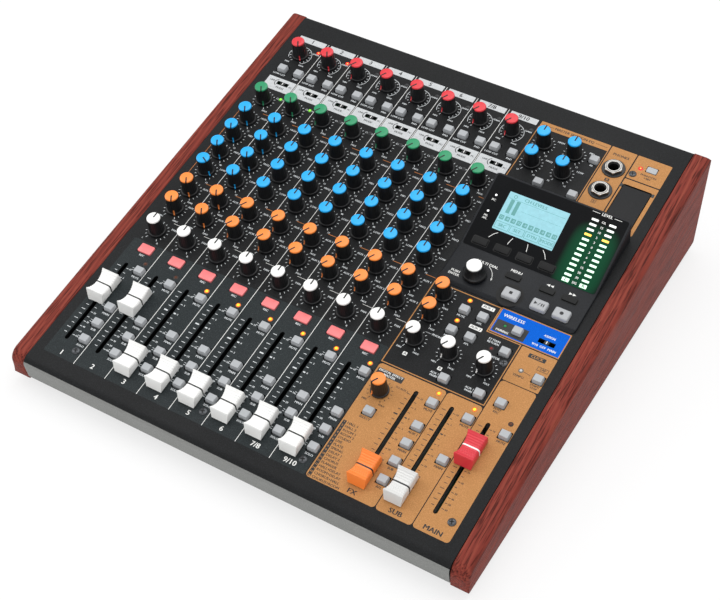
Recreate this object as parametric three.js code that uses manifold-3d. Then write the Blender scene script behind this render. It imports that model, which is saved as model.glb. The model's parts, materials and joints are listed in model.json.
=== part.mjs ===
// A small-format desk mixing console: eight input strips, a master section with a raised
// display housing, and a wedge-shaped sheet-metal body between two wooden cheeks.
// Units are millimetres. The finished object stands on its feet with +Z up and its front to -Y.
//
// Two frames are used. The level frame holds the tray, rear panel, rear connectors and feet.
// The deck frame lies in the sloping control surface: x to the right, y up the slope from the
// front face, z along the surface's normal with zero on the painted surface.

import * as THREE from "three";
import { mergeVertices } from "three/addons/utils/BufferGeometryUtils.js";
import Module from "manifold-3d";

const wasm = await Module();
wasm.setup();

// Overall body
const deckSlopeDegrees = 9.5;
const sheetThickness = 1.5;
const seatGap = 0.3;
const guideGap = 0.4;
const cutOverrun = 2;

// Wooden cheeks
const cheekThickness = 12.2;
const cheekFrontHeight = 21.6;
const cheekNoseRadius = 9;
const cheekRearRadius = 3;
const cheekEdgeRadius = 4.5;
const cheekFootRadius = 1.5;
const cheekReachBelowTray = 3;

// Feet, and the bent front and rear edges of the top panel
const footHeight = 9;
const footRadius = 8;
const footTaper = 1;
const footInsetX = 24;
const footInsetFront = 26;
const footInsetRear = 30;
const frontFaceHeight = 18.3;
const panelNoseRadius = 6;
const panelRearRadius = 4;
const rearFlangeHeight = 10;
const trayLipDrop = 8;

// Strip grid: input strips, then the master section, on the pitch that the rear connectors need
const connectorSpacing = 4.2;
const firstColumnMargin = 18.5;
const housingSideMargin = 7.29;
const stripCount = 8;

// Rows on an input strip, each by its distance from the one in front of it
const faderFrontMargin = 33.1;
const muteKeySpacing = 2.8;
const recordKeySpacing = 20.8;
const panSpacing = 16.8;
const auxSpacing = 22.1;
const auxRowPitch = 18.5;
const eqSpacing = 20.8;
const eqRowPitch = 18.27;
const compressorSpacing = 21.89;
const modeSwitchSpacing = 20;
const gainKeySpacing = 13.4;
const gainSpacing = 17.9;
const rearMargin = 39.9;

// Keys beside a fader, as shares of its travel, and their column, as a share of the pitch
const mainKeyShare = 0.478;
const subKeyShare = 0.242;
const keyColumnShare = 0.374;
const masterKeyColumnShare = 0.496;

// Offsets from a strip's column
const recordKeyOffset = 2.5;
const lowCutOffset = -4.3;
const padOffset = 9.7;
const modeSwitchOffset = 3.8;

// Circuit boards below the deck
const boardDrop = 14;
const boardThickness = 1.6;
const boardSideMargin = 6.8;
const boardRimWidth = 0.5;
const boardFrontY = 15;
const boardRearMargin = 28;
const boardSpacing = 2;

// Rotary controls: shaft, bushing and pointer knob
const shaftRadius = 3;
const shaftClearance = 0.6;
const bushingWall = 1.4;
const shaftFloorGap = 0.8;
const knobLift = 0.6;
const knobSkirtRadius = 6.2;
const knobSkirtHeight = 2.2;
const knobWaistRadius = 5.7;
const knobWaistHeight = 3.1;
const knobTopRadius = 4.8;
const knobHeight = 15;
const knobCapHeight = 0.7;
const knobCapRadius = 4.3;
const pointerWidth = 1;
const pointerDepth = 0.6;
const pointerSweepDegrees = 150;

// Push keys: cap, stem and switch body
const keyWidth = 6.6;
const keyDepth = 6;
const keyHeight = 3.4;
const keyChamfer = 0.6;
const stemSize = 3;
const switchSize = 6.4;
const switchHeight = 6.5;
const switchWellDepth = 4.5;
const stemSeatDepth = 1;
const recordKeyWidth = 10.6;
const recordKeyDepth = 7.2;
const recordKeyHeight = 0.9;
const flushKeyWidth = 7.5;
const flushKeyDepth = 5;
const flushKeyHeight = 0.4;

// Slide switches
const modeSlotWidth = 9.6;
const assignSlotWidth = 11.6;
const slideSlotDepth = 3.4;
const leverWidth = 3.6;
const leverHeight = 0.4;
const leverFootHeight = 3;
const leverFootSpread = 1;
const leverTrackWall = 1.2;

// Faders: slot, frame, carriage, stem and saddle-shaped cap
const faderTravel = 60;
const faderOffset = -2.6;
const masterFaderOffset = -4.3;
const slotWidth = 3;
const slotEndRoom = 5.4;
const slotEndRadius = 1.4;
const frameWidth = 9;
const frameWall = 1.6;
const frameFloor = 1.5;
const carriageLength = 9;
const carriageHeight = 4;
const faderStemWidth = 1.6;
const faderStemLength = 6;
const capLift = 0.8;
const capRidgeHeight = 10;
const capValleyHeight = 7.4;
const capBaseLength = 24;
const capRidgeSpan = 20.4;
const capLipLength = 1.2;
const capBaseWidth = 13;
const capTopWidth = 10.2;

// Faders' rest places, as distances above the low end of the travel
const firstFaderRest = 39.6;
const secondFaderRest = 40.1;
const mainFaderRest = 41.5;

// Master section, rows: each by its distance from a strip's row or from the one in front of it
const masterMuteSpacing = 1.7;
const monitorKeySpacing = 0.4;
const monitorSpacing = 18.4;
const clickKeySpacing = 8.1;
const sendSpacing = 21.2;
const sendRowPitch = 18.3;
const sendKeyDrop = 4.2;
const assignSwitchDrop = 3.6;
const housingSpacing = 9.6;
const eqKeySpacing = 16;
const masterEqSpacing = 14.3;
const masterEqRowPitch = 19.3;
const eqRearKeySpacing = 1.9;
const phantomKeySpacing = 10.6;
const phonesSpacing = 0.8;
const phonesRowPitch = 21.8;
const effectKnobShare = 0.912;
const effectSelectShare = 0.638;
const effectKeyShare = 0.71;

// Master section, columns: shares of the pitch to the right of the first master column
const masterEdgeShare = -0.409;
const masterEqSecondShare = 0.929;
const effectSelectColumnShare = 0.055;
const eqKeyColumnShare = 1.5;
const eqSecondKeyColumnShare = 0.48;
const sendKeyColumnShare = 0.709;
const listenKeyColumnShare = 1.236;
const sourceKeyColumnShare = 2.224;
const postKeyColumnShare = 2.827;
const clickKeyColumnShare = 3.331;
const phantomKeyColumnShare = 3.051;
const assignSwitchColumnShare = 3.024;
const phonesColumnShare = 2.094;

// Display housing
const housingWidthShare = 3.937;
const housingFlatLength = 32.6;
const housingBevelLength = 3.4;
const housingLowHeight = 1.9;
const housingRearLength = 1.1;
const housingRearHeight = 17.8;
const housingCornerRadius = 3.5;
const housingWall = 2.2;
const windowFrontInset = 6.8;
const windowRearInset = 47.8;
const windowSideShare = 0.22;
const overlayMargin = 1.6;
const overlayThickness = 0.6;
const overlayEndInset = 0.8;
const screenColumnShare = 1.063;
const screenCentreU = 32.8;
const screenWidth = 44.4;
const screenLength = 29.2;
const screenThickness = 1.5;

// Level meter: two columns of light pipes on one base
const meterLeftShare = 2.606;
const meterRightShare = 3.102;
const meterFirstU = 3.4;
const meterPitch = 3.85;
const meterSteps = 13;
const meterRearMargin = 6.56;
const segmentWidth = 5.2;
const segmentLength = 2;
const meterBaseThickness = 0.8;
const meterBaseMargin = 0.4;

// Keys on the display housing
const softKeyWidth = 10.6;
const softKeyDepth = 4.9;
const softKeyRise = 0.6;
const softKeyThickness = 2.4;
const softKeyFirstShare = 0.079;
const softKeyPitchShare = 0.648;
const softKeyCount = 4;
const softKeyU = 6.4;
const barKeyWidth = 10.4;
const barKeyDepth = 4.3;
const barKeyRise = 0.8;
const barKeyInset = 22.8;
const menuKeyShare = 1.37;
const rewindKeyShare = 2.339;
const forwardKeyShare = 2.972;
const transportKeyWidth = 11.4;
const transportKeyDepth = 8.4;
const transportKeyRise = 3;
const transportKeyFloor = 1.5;
const transportKeyInset = 9;
const stopKeyShare = 1.575;
const playKeyShare = 2.382;
const captureKeyShare = 3.008;

// Jog dial, which turns on a shaft that presses down
const jogColumnShare = 0.437;
const jogInset = 13.2;
const jogLift = 1.2;
const jogRimRadius = 8.2;
const jogRimHeight = 2.4;
const jogBodyRadius = 7.4;
const jogShoulderRadius = 6.8;
const jogShoulderHeight = 8.6;
const jogTopRadius = 4.7;
const jogHeight = 9.8;
const jogDishRadius = 3.9;
const jogDishDepth = 0.5;
const jogShaftReach = 6;
const jogPressRoom = 1.6;

// Card well under a flip door
const doorSideGap = 4.5;
const doorFrontGap = 4;
const doorWidth = 20.6;
const doorLength = 37;
const doorThickness = 1.6;
const doorProud = 0.3;
const doorKnuckleRadius = 1.5;
const doorPinRadius = 0.6;
const doorPinReach = 1.1;
const doorEarThickness = 1.8;
const doorEarHalfLength = 1.5;
const cardSlotWidth = 2.6;
const cardSlotLength = 16;
const cardSlotDepth = 3;
const cardSocketWall = 1.8;
const cardSocketHeight = 4.4;
const cardSocketInset = 18;

// Phones sockets on the deck and line sockets on the rear panel
const jackBoreRadius = 3.5;
const jackMouthRadius = 4.3;
const jackMouthDepth = 1;
const jackBoreDepth = 13;
const jackBarrelRadius = 5.4;
const jackNutRadius = 6.7;
const jackNutHeight = 2.2;
const jackFlangeRadius = 7.6;
const jackFlangeHeight = 0.8;
const jackBlockSize = 12;
const jackBlockGap = 1;

// Rear connectors
const rearTopRowZ = 60;
const rearLowRowZ = 30;
const rearBoardInset = 16;
const rearBoardMargin = 10;
const rearBoardHeadroom = 2.4;
const connectorProud = 1.2;
const xlrRadius = 10.6;
const xlrShellWall = 1.1;
const xlrGrooveWidth = 1.8;
const xlrGrooveDepth = 10;
const xlrCupWall = 2.2;
const xlrContactRadius = 1.3;
const xlrContactCircle = 4.4;
const xlrPinRecess = 2.5;
const xlrFloor = 2;
const outputFirstShare = 0.142;
const outputSecondShare = 1.142;
const outputJackFirstShare = 0.299;
const outputJackPitchShare = 0.709;
const outputJackCount = 4;
const inletShare = 2.11;
const inletSize = 10;
const inletBoreRadius = 3.2;
const inletPinRadius = 0.9;
const inletDepth = 9;
const computerSocketShare = 3.094;
const computerSocketWidth = 12;
const computerSocketHeight = 10.8;
const computerMouthWidth = 8.6;
const computerMouthHeight = 7.8;
const computerMouthDepth = 9;
const computerTongueWidth = 5.6;
const computerTongueHeight = 3.2;

// Power rocker on the rear panel
const rockerShare = 3.016;
const rockerZ = 57;
const rockerWidth = 9;
const rockerLength = 15;
const rockerInset = 3;
const rockerFront = 2;
const rockerBack = 4.5;
const rockerTiltDegrees = 7;
const rockerPinRadius = 1.2;
const rockerPinReach = 1.1;
const rockerSwing = 0.9;
const bezelWall = 2;

// Rest turns of the first strip's controls, as shares of the sweep to one side of upright
const clockwiseEndShare = -1;
const lowToneShare = -0.8;
const uprightShare = 0;

// Facet counts
const knobSides = 8;
const contactSides = 4;
const roundSides = 12;
const smallRoundSides = 8;
const nutSides = 6;
const dialSides = 16;
const arcSteps = 4;
const noseSteps = 8;
const slotEndSteps = 1;
const saddleSteps = 6;
const contactCount = 3;

const deckSlope = THREE.MathUtils.degToRad(deckSlopeDegrees);

// Columns across the deck
const stripPitch = 2 * xlrRadius + connectorSpacing;
const housingWidth = stripPitch * housingWidthShare;
const housingReach = stripPitch * (stripCount + masterEdgeShare) + housingWidth;
const innerWidth = firstColumnMargin + housingReach + housingSideMargin;
const overallWidth = innerWidth + 2 * cheekThickness;
const columnX = (column) => firstColumnMargin - innerWidth / 2 + stripPitch * column;
const masterX = (share) => columnX(stripCount) + stripPitch * share;
const keyOffset = stripPitch * keyColumnShare;
const masterKeyOffset = stripPitch * masterKeyColumnShare;
const masterLeftX = masterX(masterEdgeShare);
const masterEqSecondX = masterX(masterEqSecondShare);
const effectSelectX = masterX(effectSelectColumnShare);
const eqKeyX = masterX(eqKeyColumnShare);
const eqKeySecondX = masterX(eqSecondKeyColumnShare);
const sendKeyX = masterX(sendKeyColumnShare);
const listenKeyX = masterX(listenKeyColumnShare);
const sourceKeyX = masterX(sourceKeyColumnShare);
const postKeyX = masterX(postKeyColumnShare);
const clickKeyX = masterX(clickKeyColumnShare);
const phantomKeyX = masterX(phantomKeyColumnShare);
const assignSwitchX = masterX(assignSwitchColumnShare);
const phonesX = masterX(phonesColumnShare);
const doorX = phonesX + jackFlangeRadius + doorSideGap + doorWidth / 2;
const doorEarInset = doorWidth / 2 + guideGap;
const doorEarReachX = doorX + doorEarInset + doorEarThickness;
const windowSideInset = stripPitch * windowSideShare;
const screenCentreX = masterX(screenColumnShare);
const meterLeftX = masterX(meterLeftShare);
const meterRightX = masterX(meterRightShare);
const softKeyFirstX = masterX(softKeyFirstShare);
const softKeyPitch = stripPitch * softKeyPitchShare;
const menuKeyX = masterX(menuKeyShare);
const rewindKeyX = masterX(rewindKeyShare);
const forwardKeyX = masterX(forwardKeyShare);
const stopKeyX = masterX(stopKeyShare);
const playKeyX = masterX(playKeyShare);
const captureKeyX = masterX(captureKeyShare);
const jogX = masterX(jogColumnShare);
const outputFirstX = masterX(outputFirstShare);
const outputSecondX = masterX(outputSecondShare);
const outputJackFirstX = masterX(outputJackFirstShare);
const outputJackPitch = stripPitch * outputJackPitchShare;
const inletX = masterX(inletShare);
const computerSocketX = masterX(computerSocketShare);
const rockerX = masterX(rockerShare);

// Rows up the deck, from the front
const faderLowY = faderFrontMargin;
const faderRearY = faderLowY + faderTravel;
const soloRowY = faderLowY;
const subKeyRowY = faderLowY + faderTravel * subKeyShare;
const mainKeyRowY = faderLowY + faderTravel * mainKeyShare;
const muteRowY = faderRearY + muteKeySpacing;
const recordKeyRowY = faderRearY + recordKeySpacing;
const panRowY = recordKeyRowY + panSpacing;
const auxSecondRowY = panRowY + auxSpacing;
const auxFirstRowY = auxSecondRowY + auxRowPitch;
const eqLowRowY = auxFirstRowY + eqSpacing;
const eqMidFrequencyRowY = eqLowRowY + eqRowPitch;
const eqMidGainRowY = eqMidFrequencyRowY + eqRowPitch;
const eqHighRowY = eqMidGainRowY + eqRowPitch;
const compressorRowY = eqHighRowY + compressorSpacing;
const modeSwitchRowY = compressorRowY + modeSwitchSpacing;
const gainKeyRowY = modeSwitchRowY + gainKeySpacing;
const gainRowY = gainKeyRowY + gainSpacing;
const effectKnobY = faderLowY + faderTravel * effectKnobShare;
const effectSelectY = faderLowY + faderTravel * effectSelectShare;
const effectKeyRowY = faderLowY + faderTravel * effectKeyShare;
const masterMuteRowY = faderRearY + masterMuteSpacing;
const monitorKeyY = recordKeyRowY + monitorKeySpacing;
const monitorRowY = recordKeyRowY + monitorSpacing;
const clickKeyY = monitorRowY + clickKeySpacing;
const masterSendFrontY = monitorRowY + sendSpacing;
const masterSendRearY = masterSendFrontY + sendRowPitch;
const sendKeyRearY = masterSendRearY - sendKeyDrop;
const sendKeyFrontY = masterSendFrontY - sendKeyDrop;
const assignSwitchY = masterSendRearY - assignSwitchDrop;

// The display housing: a level front part, and a face that slopes up as far as the meter needs
const faceRise = housingRearHeight - housingLowHeight;
const faceLength = meterFirstU + meterPitch * (meterSteps - 1) + segmentLength / 2 + meterRearMargin;
const faceRun = Math.sqrt(faceLength * faceLength - faceRise * faceRise);
const housingFrontY = masterSendRearY + housingSpacing;
const housingKinkY = housingFrontY + housingFlatLength;
const housingTopY = housingKinkY + faceRun;
const housingRearY = housingTopY + housingRearLength;
const transportKeyY = housingFrontY + transportKeyInset;
const jogY = housingFrontY + jogInset;
const barKeyY = housingFrontY + barKeyInset;

// Rows behind the housing, and the deck's length
const eqKeyFrontY = housingRearY + eqKeySpacing;
const masterEqFrontY = eqKeyFrontY + masterEqSpacing;
const masterEqRearY = masterEqFrontY + masterEqRowPitch;
const eqKeyRearY = masterEqRearY + eqRearKeySpacing;
const phantomKeyY = masterEqRearY + phantomKeySpacing;
const phonesRearY = masterEqRearY + phonesSpacing;
const phonesFrontY = phonesRearY - phonesRowPitch;
const doorFrontY = housingRearY + doorFrontGap;
const doorRearY = doorFrontY + doorLength;
const cardSocketY = doorFrontY + cardSocketInset;
const deckLength = Math.max(gainRowY, masterEqRearY) + rearMargin;
const boardLeftX = boardSideMargin - innerWidth / 2;
const boardRightX = Math.max(masterLeftX + housingWidth, doorEarReachX) + boardRimWidth;
const boardRearY = deckLength - boardRearMargin;
const boardSplitX = masterLeftX - boardSpacing / 2;
const boardSplitY = (recordKeyRowY + panRowY) / 2;
const rearBoardTopZ = rearTopRowZ + xlrRadius + rearBoardHeadroom;
const xlrGrooveOuterRadius = xlrRadius - xlrShellWall;
const xlrGrooveInnerRadius = xlrGrooveOuterRadius - xlrGrooveWidth;
const xlrCupRadius = xlrRadius - xlrCupWall;

// Angles and heights
const pointerSweep = THREE.MathUtils.degToRad(pointerSweepDegrees);
const rockerTilt = THREE.MathUtils.degToRad(rockerTiltDegrees);
const cheekBottomZ = footHeight - cheekReachBelowTray;
const trayFloorZ = footHeight + sheetThickness;
const deckFrontZ = cheekBottomZ + cheekFrontHeight * Math.cos(deckSlope);
const rearPlaneY = deckLength * Math.cos(deckSlope);
const rearTopZ = deckFrontZ + deckLength * Math.sin(deckSlope);
const metalWidth = innerWidth - 2 * seatGap;
const boardTopZ = -boardDrop;
const boardMiddleZ = boardTopZ - boardThickness / 2;
const sheetMiddleZ = -sheetThickness / 2;
const undersideZ = -sheetThickness - seatGap;
const boreInradius = shaftRadius + shaftClearance;

// Finishes

function finish(colour, roughness, metalness = 0) {
  return new THREE.MeshStandardMaterial({ color: colour, roughness, metalness });
}

const blackPaint = finish(0x1e1f20, 0.6, 0.3);
const darkSteel = finish(0x3a3b3c, 0.55, 0.4);
const redWood = finish(0x6e3426, 0.5);
const blackRubber = finish(0x151515, 0.9);
const blackPlastic = finish(0x1a1b1c, 0.45);
const glossOverlay = finish(0x0c0d0e, 0.15);
const litGlass = finish(0x9fe4f2, 0.1);
const lightPipe = finish(0xcfe8d2, 0.3);
const boardGreen = finish(0x2a3d2c, 0.7);
const redCap = finish(0xc42f3a, 0.4);
const greenCap = finish(0x2f9a5f, 0.4);
const blueCap = finish(0x2f6fd0, 0.4);
const orangeCap = finish(0xef7f3a, 0.4);
const whiteCap = finish(0xf2f2f0, 0.4);
const greyKey = finish(0xa9adb2, 0.5);
const pinkKey = finish(0xf08a8c, 0.4);
const bareSteel = finish(0xc9cccf, 0.3, 1);

// Closed meshes and solids

function solidOf(geometry) {
  const bare = geometry.clone();
  bare.deleteAttribute("normal");
  bare.deleteAttribute("uv");
  const merged = mergeVertices(bare);
  const vertProperties = new Float32Array(merged.attributes.position.array);
  const triVerts = new Uint32Array(merged.index.array);
  return new wasm.Manifold(new wasm.Mesh({ numProp: 3, vertProperties, triVerts }));
}

function geometryOf(solid) {
  const mesh = solid.getMesh();
  const geometry = new THREE.BufferGeometry();
  geometry.setAttribute("position", new THREE.BufferAttribute(new Float32Array(mesh.vertProperties), 3));
  geometry.setIndex(new THREE.BufferAttribute(new Uint32Array(mesh.triVerts), 1));
  geometry.computeVertexNormals();
  return geometry;
}

function join(solids) {
  return solids.reduce((whole, piece) => whole.add(piece));
}

function carried(solid, matrix) {
  return solidOf(geometryOf(solid).applyMatrix4(matrix));
}

// The distance from a regular polygon's centre to its corners, from the distance to its sides.
function circumradius(inradius, sides) {
  return inradius / Math.cos(Math.PI / sides);
}

// Basic forms. Upright ones stand with their lowest face at the given z.

function block(width, depth, height, x = 0, y = 0, z = 0) {
  return solidOf(new THREE.BoxGeometry(width, depth, height).translate(x, y, z + height / 2));
}

function post(radius, height, sides, x = 0, y = 0, z = 0) {
  const geometry = new THREE.CylinderGeometry(radius, radius, height, sides);
  return solidOf(geometry.rotateX(Math.PI / 2).translate(x, y, z + height / 2));
}

// A pin along x, centred on its place.
function pinAlongX(radius, length, sides, x = 0, y = 0, z = 0) {
  const geometry = new THREE.CylinderGeometry(radius, radius, length, sides);
  return solidOf(geometry.rotateZ(Math.PI / 2).translate(x, y, z));
}

// A solid of revolution about z from [radius, z] pairs that start and end on the axis.
function turned(profile, sides, x = 0, y = 0) {
  const points = profile.map(([radius, height]) => new THREE.Vector2(radius, height));
  return solidOf(new THREE.LatheGeometry(points, sides).rotateX(Math.PI / 2).translate(x, y, 0));
}

// A solid of revolution about a line along y, from [radius, y] pairs, as rear connectors have.
function turnedAlongY(profile, sides, x, z) {
  const points = profile.map(([radius, depth]) => new THREE.Vector2(radius, depth));
  return solidOf(new THREE.LatheGeometry(points, sides).translate(x, 0, z));
}

function postAlongY(radius, fromY, toY, sides, x, z) {
  return turnedAlongY([[0, fromY], [radius, fromY], [radius, toY], [0, toY]], sides, x, z);
}

function ringAlongY(innerRadius, outerRadius, fromY, toY, sides, x, z) {
  const start = [innerRadius, fromY];
  const section = [start, [outerRadius, fromY], [outerRadius, toY], [innerRadius, toY], start];
  return turnedAlongY(section, sides, x, z);
}

// The arc that rounds one corner of an outline.
function cornerArc(before, corner, after, radius, steps) {
  if (radius === 0) {
    return [corner.clone()];
  }
  const toBefore = before.clone().sub(corner).normalize();
  const toAfter = after.clone().sub(corner).normalize();
  const halfAngle = Math.acos(THREE.MathUtils.clamp(toBefore.dot(toAfter), -1, 1)) / 2;
  const inward = toBefore.clone().add(toAfter).normalize();
  const centre = corner.clone().addScaledVector(inward, radius / Math.sin(halfAngle));
  const reach = radius / Math.tan(halfAngle);
  const startAngle = corner.clone().addScaledVector(toBefore, reach).sub(centre).angle();
  const endAngle = corner.clone().addScaledVector(toAfter, reach).sub(centre).angle();
  const turn = endAngle - startAngle;
  const sweep = turn - 2 * Math.PI * Math.round(turn / (2 * Math.PI));
  return Array.from({ length: steps + 1 }, (_, i) => {
    const angle = startAngle + (sweep * i) / steps;
    return new THREE.Vector2(Math.cos(angle), Math.sin(angle)).multiplyScalar(radius).add(centre);
  });
}

// A closed outline from [x, y, cornerRadius] entries.
function outline(corners, steps = arcSteps) {
  const points = corners.map(([x, y]) => new THREE.Vector2(x, y));
  const rounded = corners.flatMap(([, , radius = 0], i) => {
    const before = points[(i + points.length - 1) % points.length];
    const after = points[(i + 1) % points.length];
    return cornerArc(before, points[i], after, radius, steps);
  });
  return new THREE.Shape(rounded);
}

// A plate of an (x, y) outline, from z upwards.
function plate(shape, thickness, z = 0) {
  const geometry = new THREE.ExtrudeGeometry(shape, { depth: thickness, bevelEnabled: false });
  return solidOf(geometry.translate(0, 0, z));
}

// A bar of a (y, z) outline that runs along x and is centred on the given x.
function barAlongX(shape, length, x = 0) {
  const geometry = new THREE.ExtrudeGeometry(shape, { depth: length, bevelEnabled: false });
  const alongY = new THREE.Vector3(0, 1, 0);
  const alongZ = new THREE.Vector3(0, 0, 1);
  const alongX = new THREE.Vector3(1, 0, 0);
  geometry.applyMatrix4(new THREE.Matrix4().makeBasis(alongY, alongZ, alongX));
  return solidOf(geometry.translate(x - length / 2, 0, 0));
}

// A bar of an (x, z) outline that runs along y, from the given y.
function barAlongY(shape, length, y = 0) {
  const geometry = new THREE.ExtrudeGeometry(shape, { depth: length, bevelEnabled: false });
  return solidOf(geometry.rotateX(Math.PI / 2).translate(0, y + length, 0));
}

// Groups

const mixingConsole = new THREE.Group();
const level = new THREE.Group();
const deck = new THREE.Group();
deck.rotation.x = deckSlope;
deck.position.z = deckFrontZ;
mixingConsole.add(level, deck);

function place(parent, name, solid, material, x = 0, y = 0, z = 0) {
  const mesh = new THREE.Mesh(geometryOf(solid), material);
  mesh.name = name;
  mesh.position.set(x, y, z);
  parent.add(mesh);
  return mesh;
}

// The level frame's (y, z) of a place in the deck frame.
function levelPlace(y, z) {
  return [
    y * Math.cos(deckSlope) - z * Math.sin(deckSlope),
    deckFrontZ + y * Math.sin(deckSlope) + z * Math.cos(deckSlope),
  ];
}

// The deck frame's (y, z) of a place on the upright rear plane, below the deck's rear edge.
function rearPlace(drop, inset = 0) {
  return [
    deckLength - drop * Math.sin(deckSlope) - inset * Math.cos(deckSlope),
    inset * Math.sin(deckSlope) - drop * Math.cos(deckSlope),
  ];
}

// Wooden cheeks: a side profile with a rounded nose, and an eased outer top edge.

function cheek(side) {
  const profile = outline([
    [0, 0, cheekNoseRadius],
    [0, -cheekFrontHeight, cheekFootRadius],
    [...rearPlace(rearTopZ - cheekBottomZ), cheekFootRadius],
    [deckLength, 0, cheekRearRadius],
  ], noseSteps);
  const innerX = (side * innerWidth) / 2;
  const outerX = (side * overallWidth) / 2;
  const section = outline([
    [innerX, 0],
    [outerX, 0, cheekEdgeRadius],
    [outerX, -rearTopZ],
    [innerX, -rearTopZ],
  ]);
  const slab = barAlongX(profile, cheekThickness, (innerX + outerX) / 2);
  return slab.intersect(barAlongY(section, deckLength + 2 * cutOverrun, -cutOverrun));
}

place(deck, "left_cheek", cheek(-1), redWood);
place(deck, "right_cheek", cheek(1), redWood);

// Bottom tray: a floor, a low front lip, and side walls that follow the deck's slope.

function trayProfile(wall, topZ, lipZ, rearY) {
  const frontY = sheetThickness + seatGap + wall;
  const floorZ = footHeight + wall;
  const floorDrop = (deckFrontZ - floorZ + frontY * Math.sin(deckSlope)) / Math.cos(deckSlope);
  const rearTopY = (rearY + topZ * Math.sin(deckSlope)) / Math.cos(deckSlope);
  return outline([
    levelPlace(frontY, -floorDrop),
    [rearY, floorZ],
    [...levelPlace(rearTopY, topZ), panelRearRadius],
    levelPlace(frontY + panelNoseRadius, topZ),
    levelPlace(frontY, lipZ),
  ]);
}

const trayRearY = rearPlaneY - sheetThickness - seatGap;
const trayHull = barAlongX(trayProfile(0, undersideZ, -trayLipDrop, trayRearY), metalWidth);
const trayHollow = barAlongX(
  trayProfile(sheetThickness, cutOverrun, cutOverrun, trayRearY + cutOverrun),
  metalWidth - 2 * sheetThickness,
);
place(level, "bottom_tray", trayHull.subtract(trayHollow), darkSteel);

// Rubber feet

function foot() {
  return turned([
    [0, 0],
    [footRadius - footTaper, 0],
    [footRadius, footHeight - seatGap],
    [0, footHeight - seatGap],
  ], roundSides);
}

for (const [sideName, side] of [["left", -1], ["right", 1]]) {
  const x = side * (innerWidth / 2 - footInsetX);
  place(level, `foot_front_${sideName}`, foot(), blackRubber, x, footInsetFront);
  place(level, `foot_rear_${sideName}`, foot(), blackRubber, x, rearPlaneY - footInsetRear);
}

// Rotary controls

// A knob that is one with the panel that carries its nut, for the repeated rows.
function panelKnob([x, y]) {
  return turned([
    [0, sheetMiddleZ],
    [knobSkirtRadius, sheetMiddleZ],
    [knobTopRadius, knobHeight],
    [0, knobHeight],
  ], knobSides, x, y);
}

// A turning knob on its shaft, with a stepped skirt, an eased top edge and a pointer groove.
function turningKnob() {
  const shaftLowZ = boardTopZ + shaftFloorGap;
  const knob = turned([
    [0, shaftLowZ],
    [shaftRadius, shaftLowZ],
    [shaftRadius, knobLift],
    [knobSkirtRadius, knobLift],
    [knobSkirtRadius, knobSkirtHeight],
    [knobWaistRadius, knobWaistHeight],
    [knobTopRadius, knobHeight - knobCapHeight],
    [knobCapRadius, knobHeight],
    [0, knobHeight],
  ], knobSides);
  const groove = block(
    pointerWidth,
    knobTopRadius,
    pointerDepth + cutOverrun,
    0,
    knobTopRadius / 2,
    knobHeight - pointerDepth,
  );
  return knob.subtract(groove);
}

// The bushing that a turning shaft runs in, standing on a board, and its bore.
function bushing([x, y]) {
  const radius = circumradius(boreInradius, knobSides) + bushingWall;
  return post(radius, undersideZ - boardTopZ, knobSides, x, y, boardTopZ);
}

function bushingBore([x, y]) {
  return post(circumradius(boreInradius, knobSides), boardDrop, knobSides, x, y, boardTopZ + seatGap);
}

// Push keys

// A key that is one with the panel, for the repeated rows.
function panelKey([x, y, width = keyWidth, depth = keyDepth, height = keyHeight]) {
  return block(width, depth, height - sheetMiddleZ, x, y, sheetMiddleZ);
}

// A travelling key: a chamfered cap on the stem that enters its switch.
function travellingKey(width, depth, height, floorZ = undersideZ, chamfer = keyChamfer) {
  const halfWidth = width / 2;
  const section = outline([
    [-halfWidth, floorZ],
    [halfWidth, floorZ],
    [halfWidth, height - chamfer],
    [halfWidth - chamfer, height],
    [chamfer - halfWidth, height],
    [-halfWidth, height - chamfer],
  ]);
  const cap = barAlongY(section, depth, -depth / 2);
  const stemLowZ = boardTopZ + switchHeight - stemSeatDepth;
  return cap.add(block(stemSize, stemSize, floorZ + seatGap - stemLowZ, 0, 0, stemLowZ));
}

// The switch body on a board, and the well that the stem slides in.
function switchBody([x, y]) {
  return block(switchSize, switchSize, switchHeight, x, y, boardTopZ);
}

function switchWell([x, y]) {
  const size = stemSize + 2 * seatGap;
  const lowZ = boardTopZ + switchHeight - switchWellDepth;
  return block(size, size, switchWellDepth + cutOverrun, x, y, lowZ);
}

// Slide switches: a lever whose foot runs in a track on the board.

const leverDepth = slideSlotDepth - 2 * seatGap;
const leverFootZ = undersideZ - seatGap - leverFootHeight;

function lever() {
  const slider = block(leverWidth + 2 * leverFootSpread, leverDepth, leverFootHeight, 0, 0, leverFootZ);
  return slider.add(block(leverWidth, leverDepth, leverHeight - leverFootZ, 0, 0, leverFootZ));
}

// A shallow slot and the lever standing in it, one with the panel, for the repeated rows.
function panelSlot([x, y]) {
  return block(modeSlotWidth, slideSlotDepth, cutOverrun - sheetMiddleZ, x, y, sheetMiddleZ);
}

function panelLever([x, y]) {
  return block(leverWidth, leverDepth, leverHeight + sheetThickness, x, y, -sheetThickness);
}

function leverTrack([x, y], slotLength) {
  const outerLength = slotLength + 2 * leverFootSpread + 2 * leverTrackWall;
  const outerDepth = slideSlotDepth + 2 * leverTrackWall;
  return block(outerLength, outerDepth, undersideZ - boardTopZ, x, y, boardTopZ);
}

function leverTrackHollow([x, y], slotLength) {
  const lowZ = leverFootZ - seatGap;
  return block(slotLength + 2 * leverFootSpread, slideSlotDepth, -lowZ, x, y, lowZ);
}

// Faders

const faderMiddleY = faderLowY + faderTravel / 2;
const frameHollowLength = faderTravel + carriageLength + 2 * seatGap;
const frameHollowWidth = frameWidth - 2 * frameWall;

function faderFrame(x) {
  const length = frameHollowLength + 2 * frameWall;
  return block(frameWidth, length, undersideZ - boardTopZ, x, faderMiddleY, boardTopZ);
}

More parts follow.
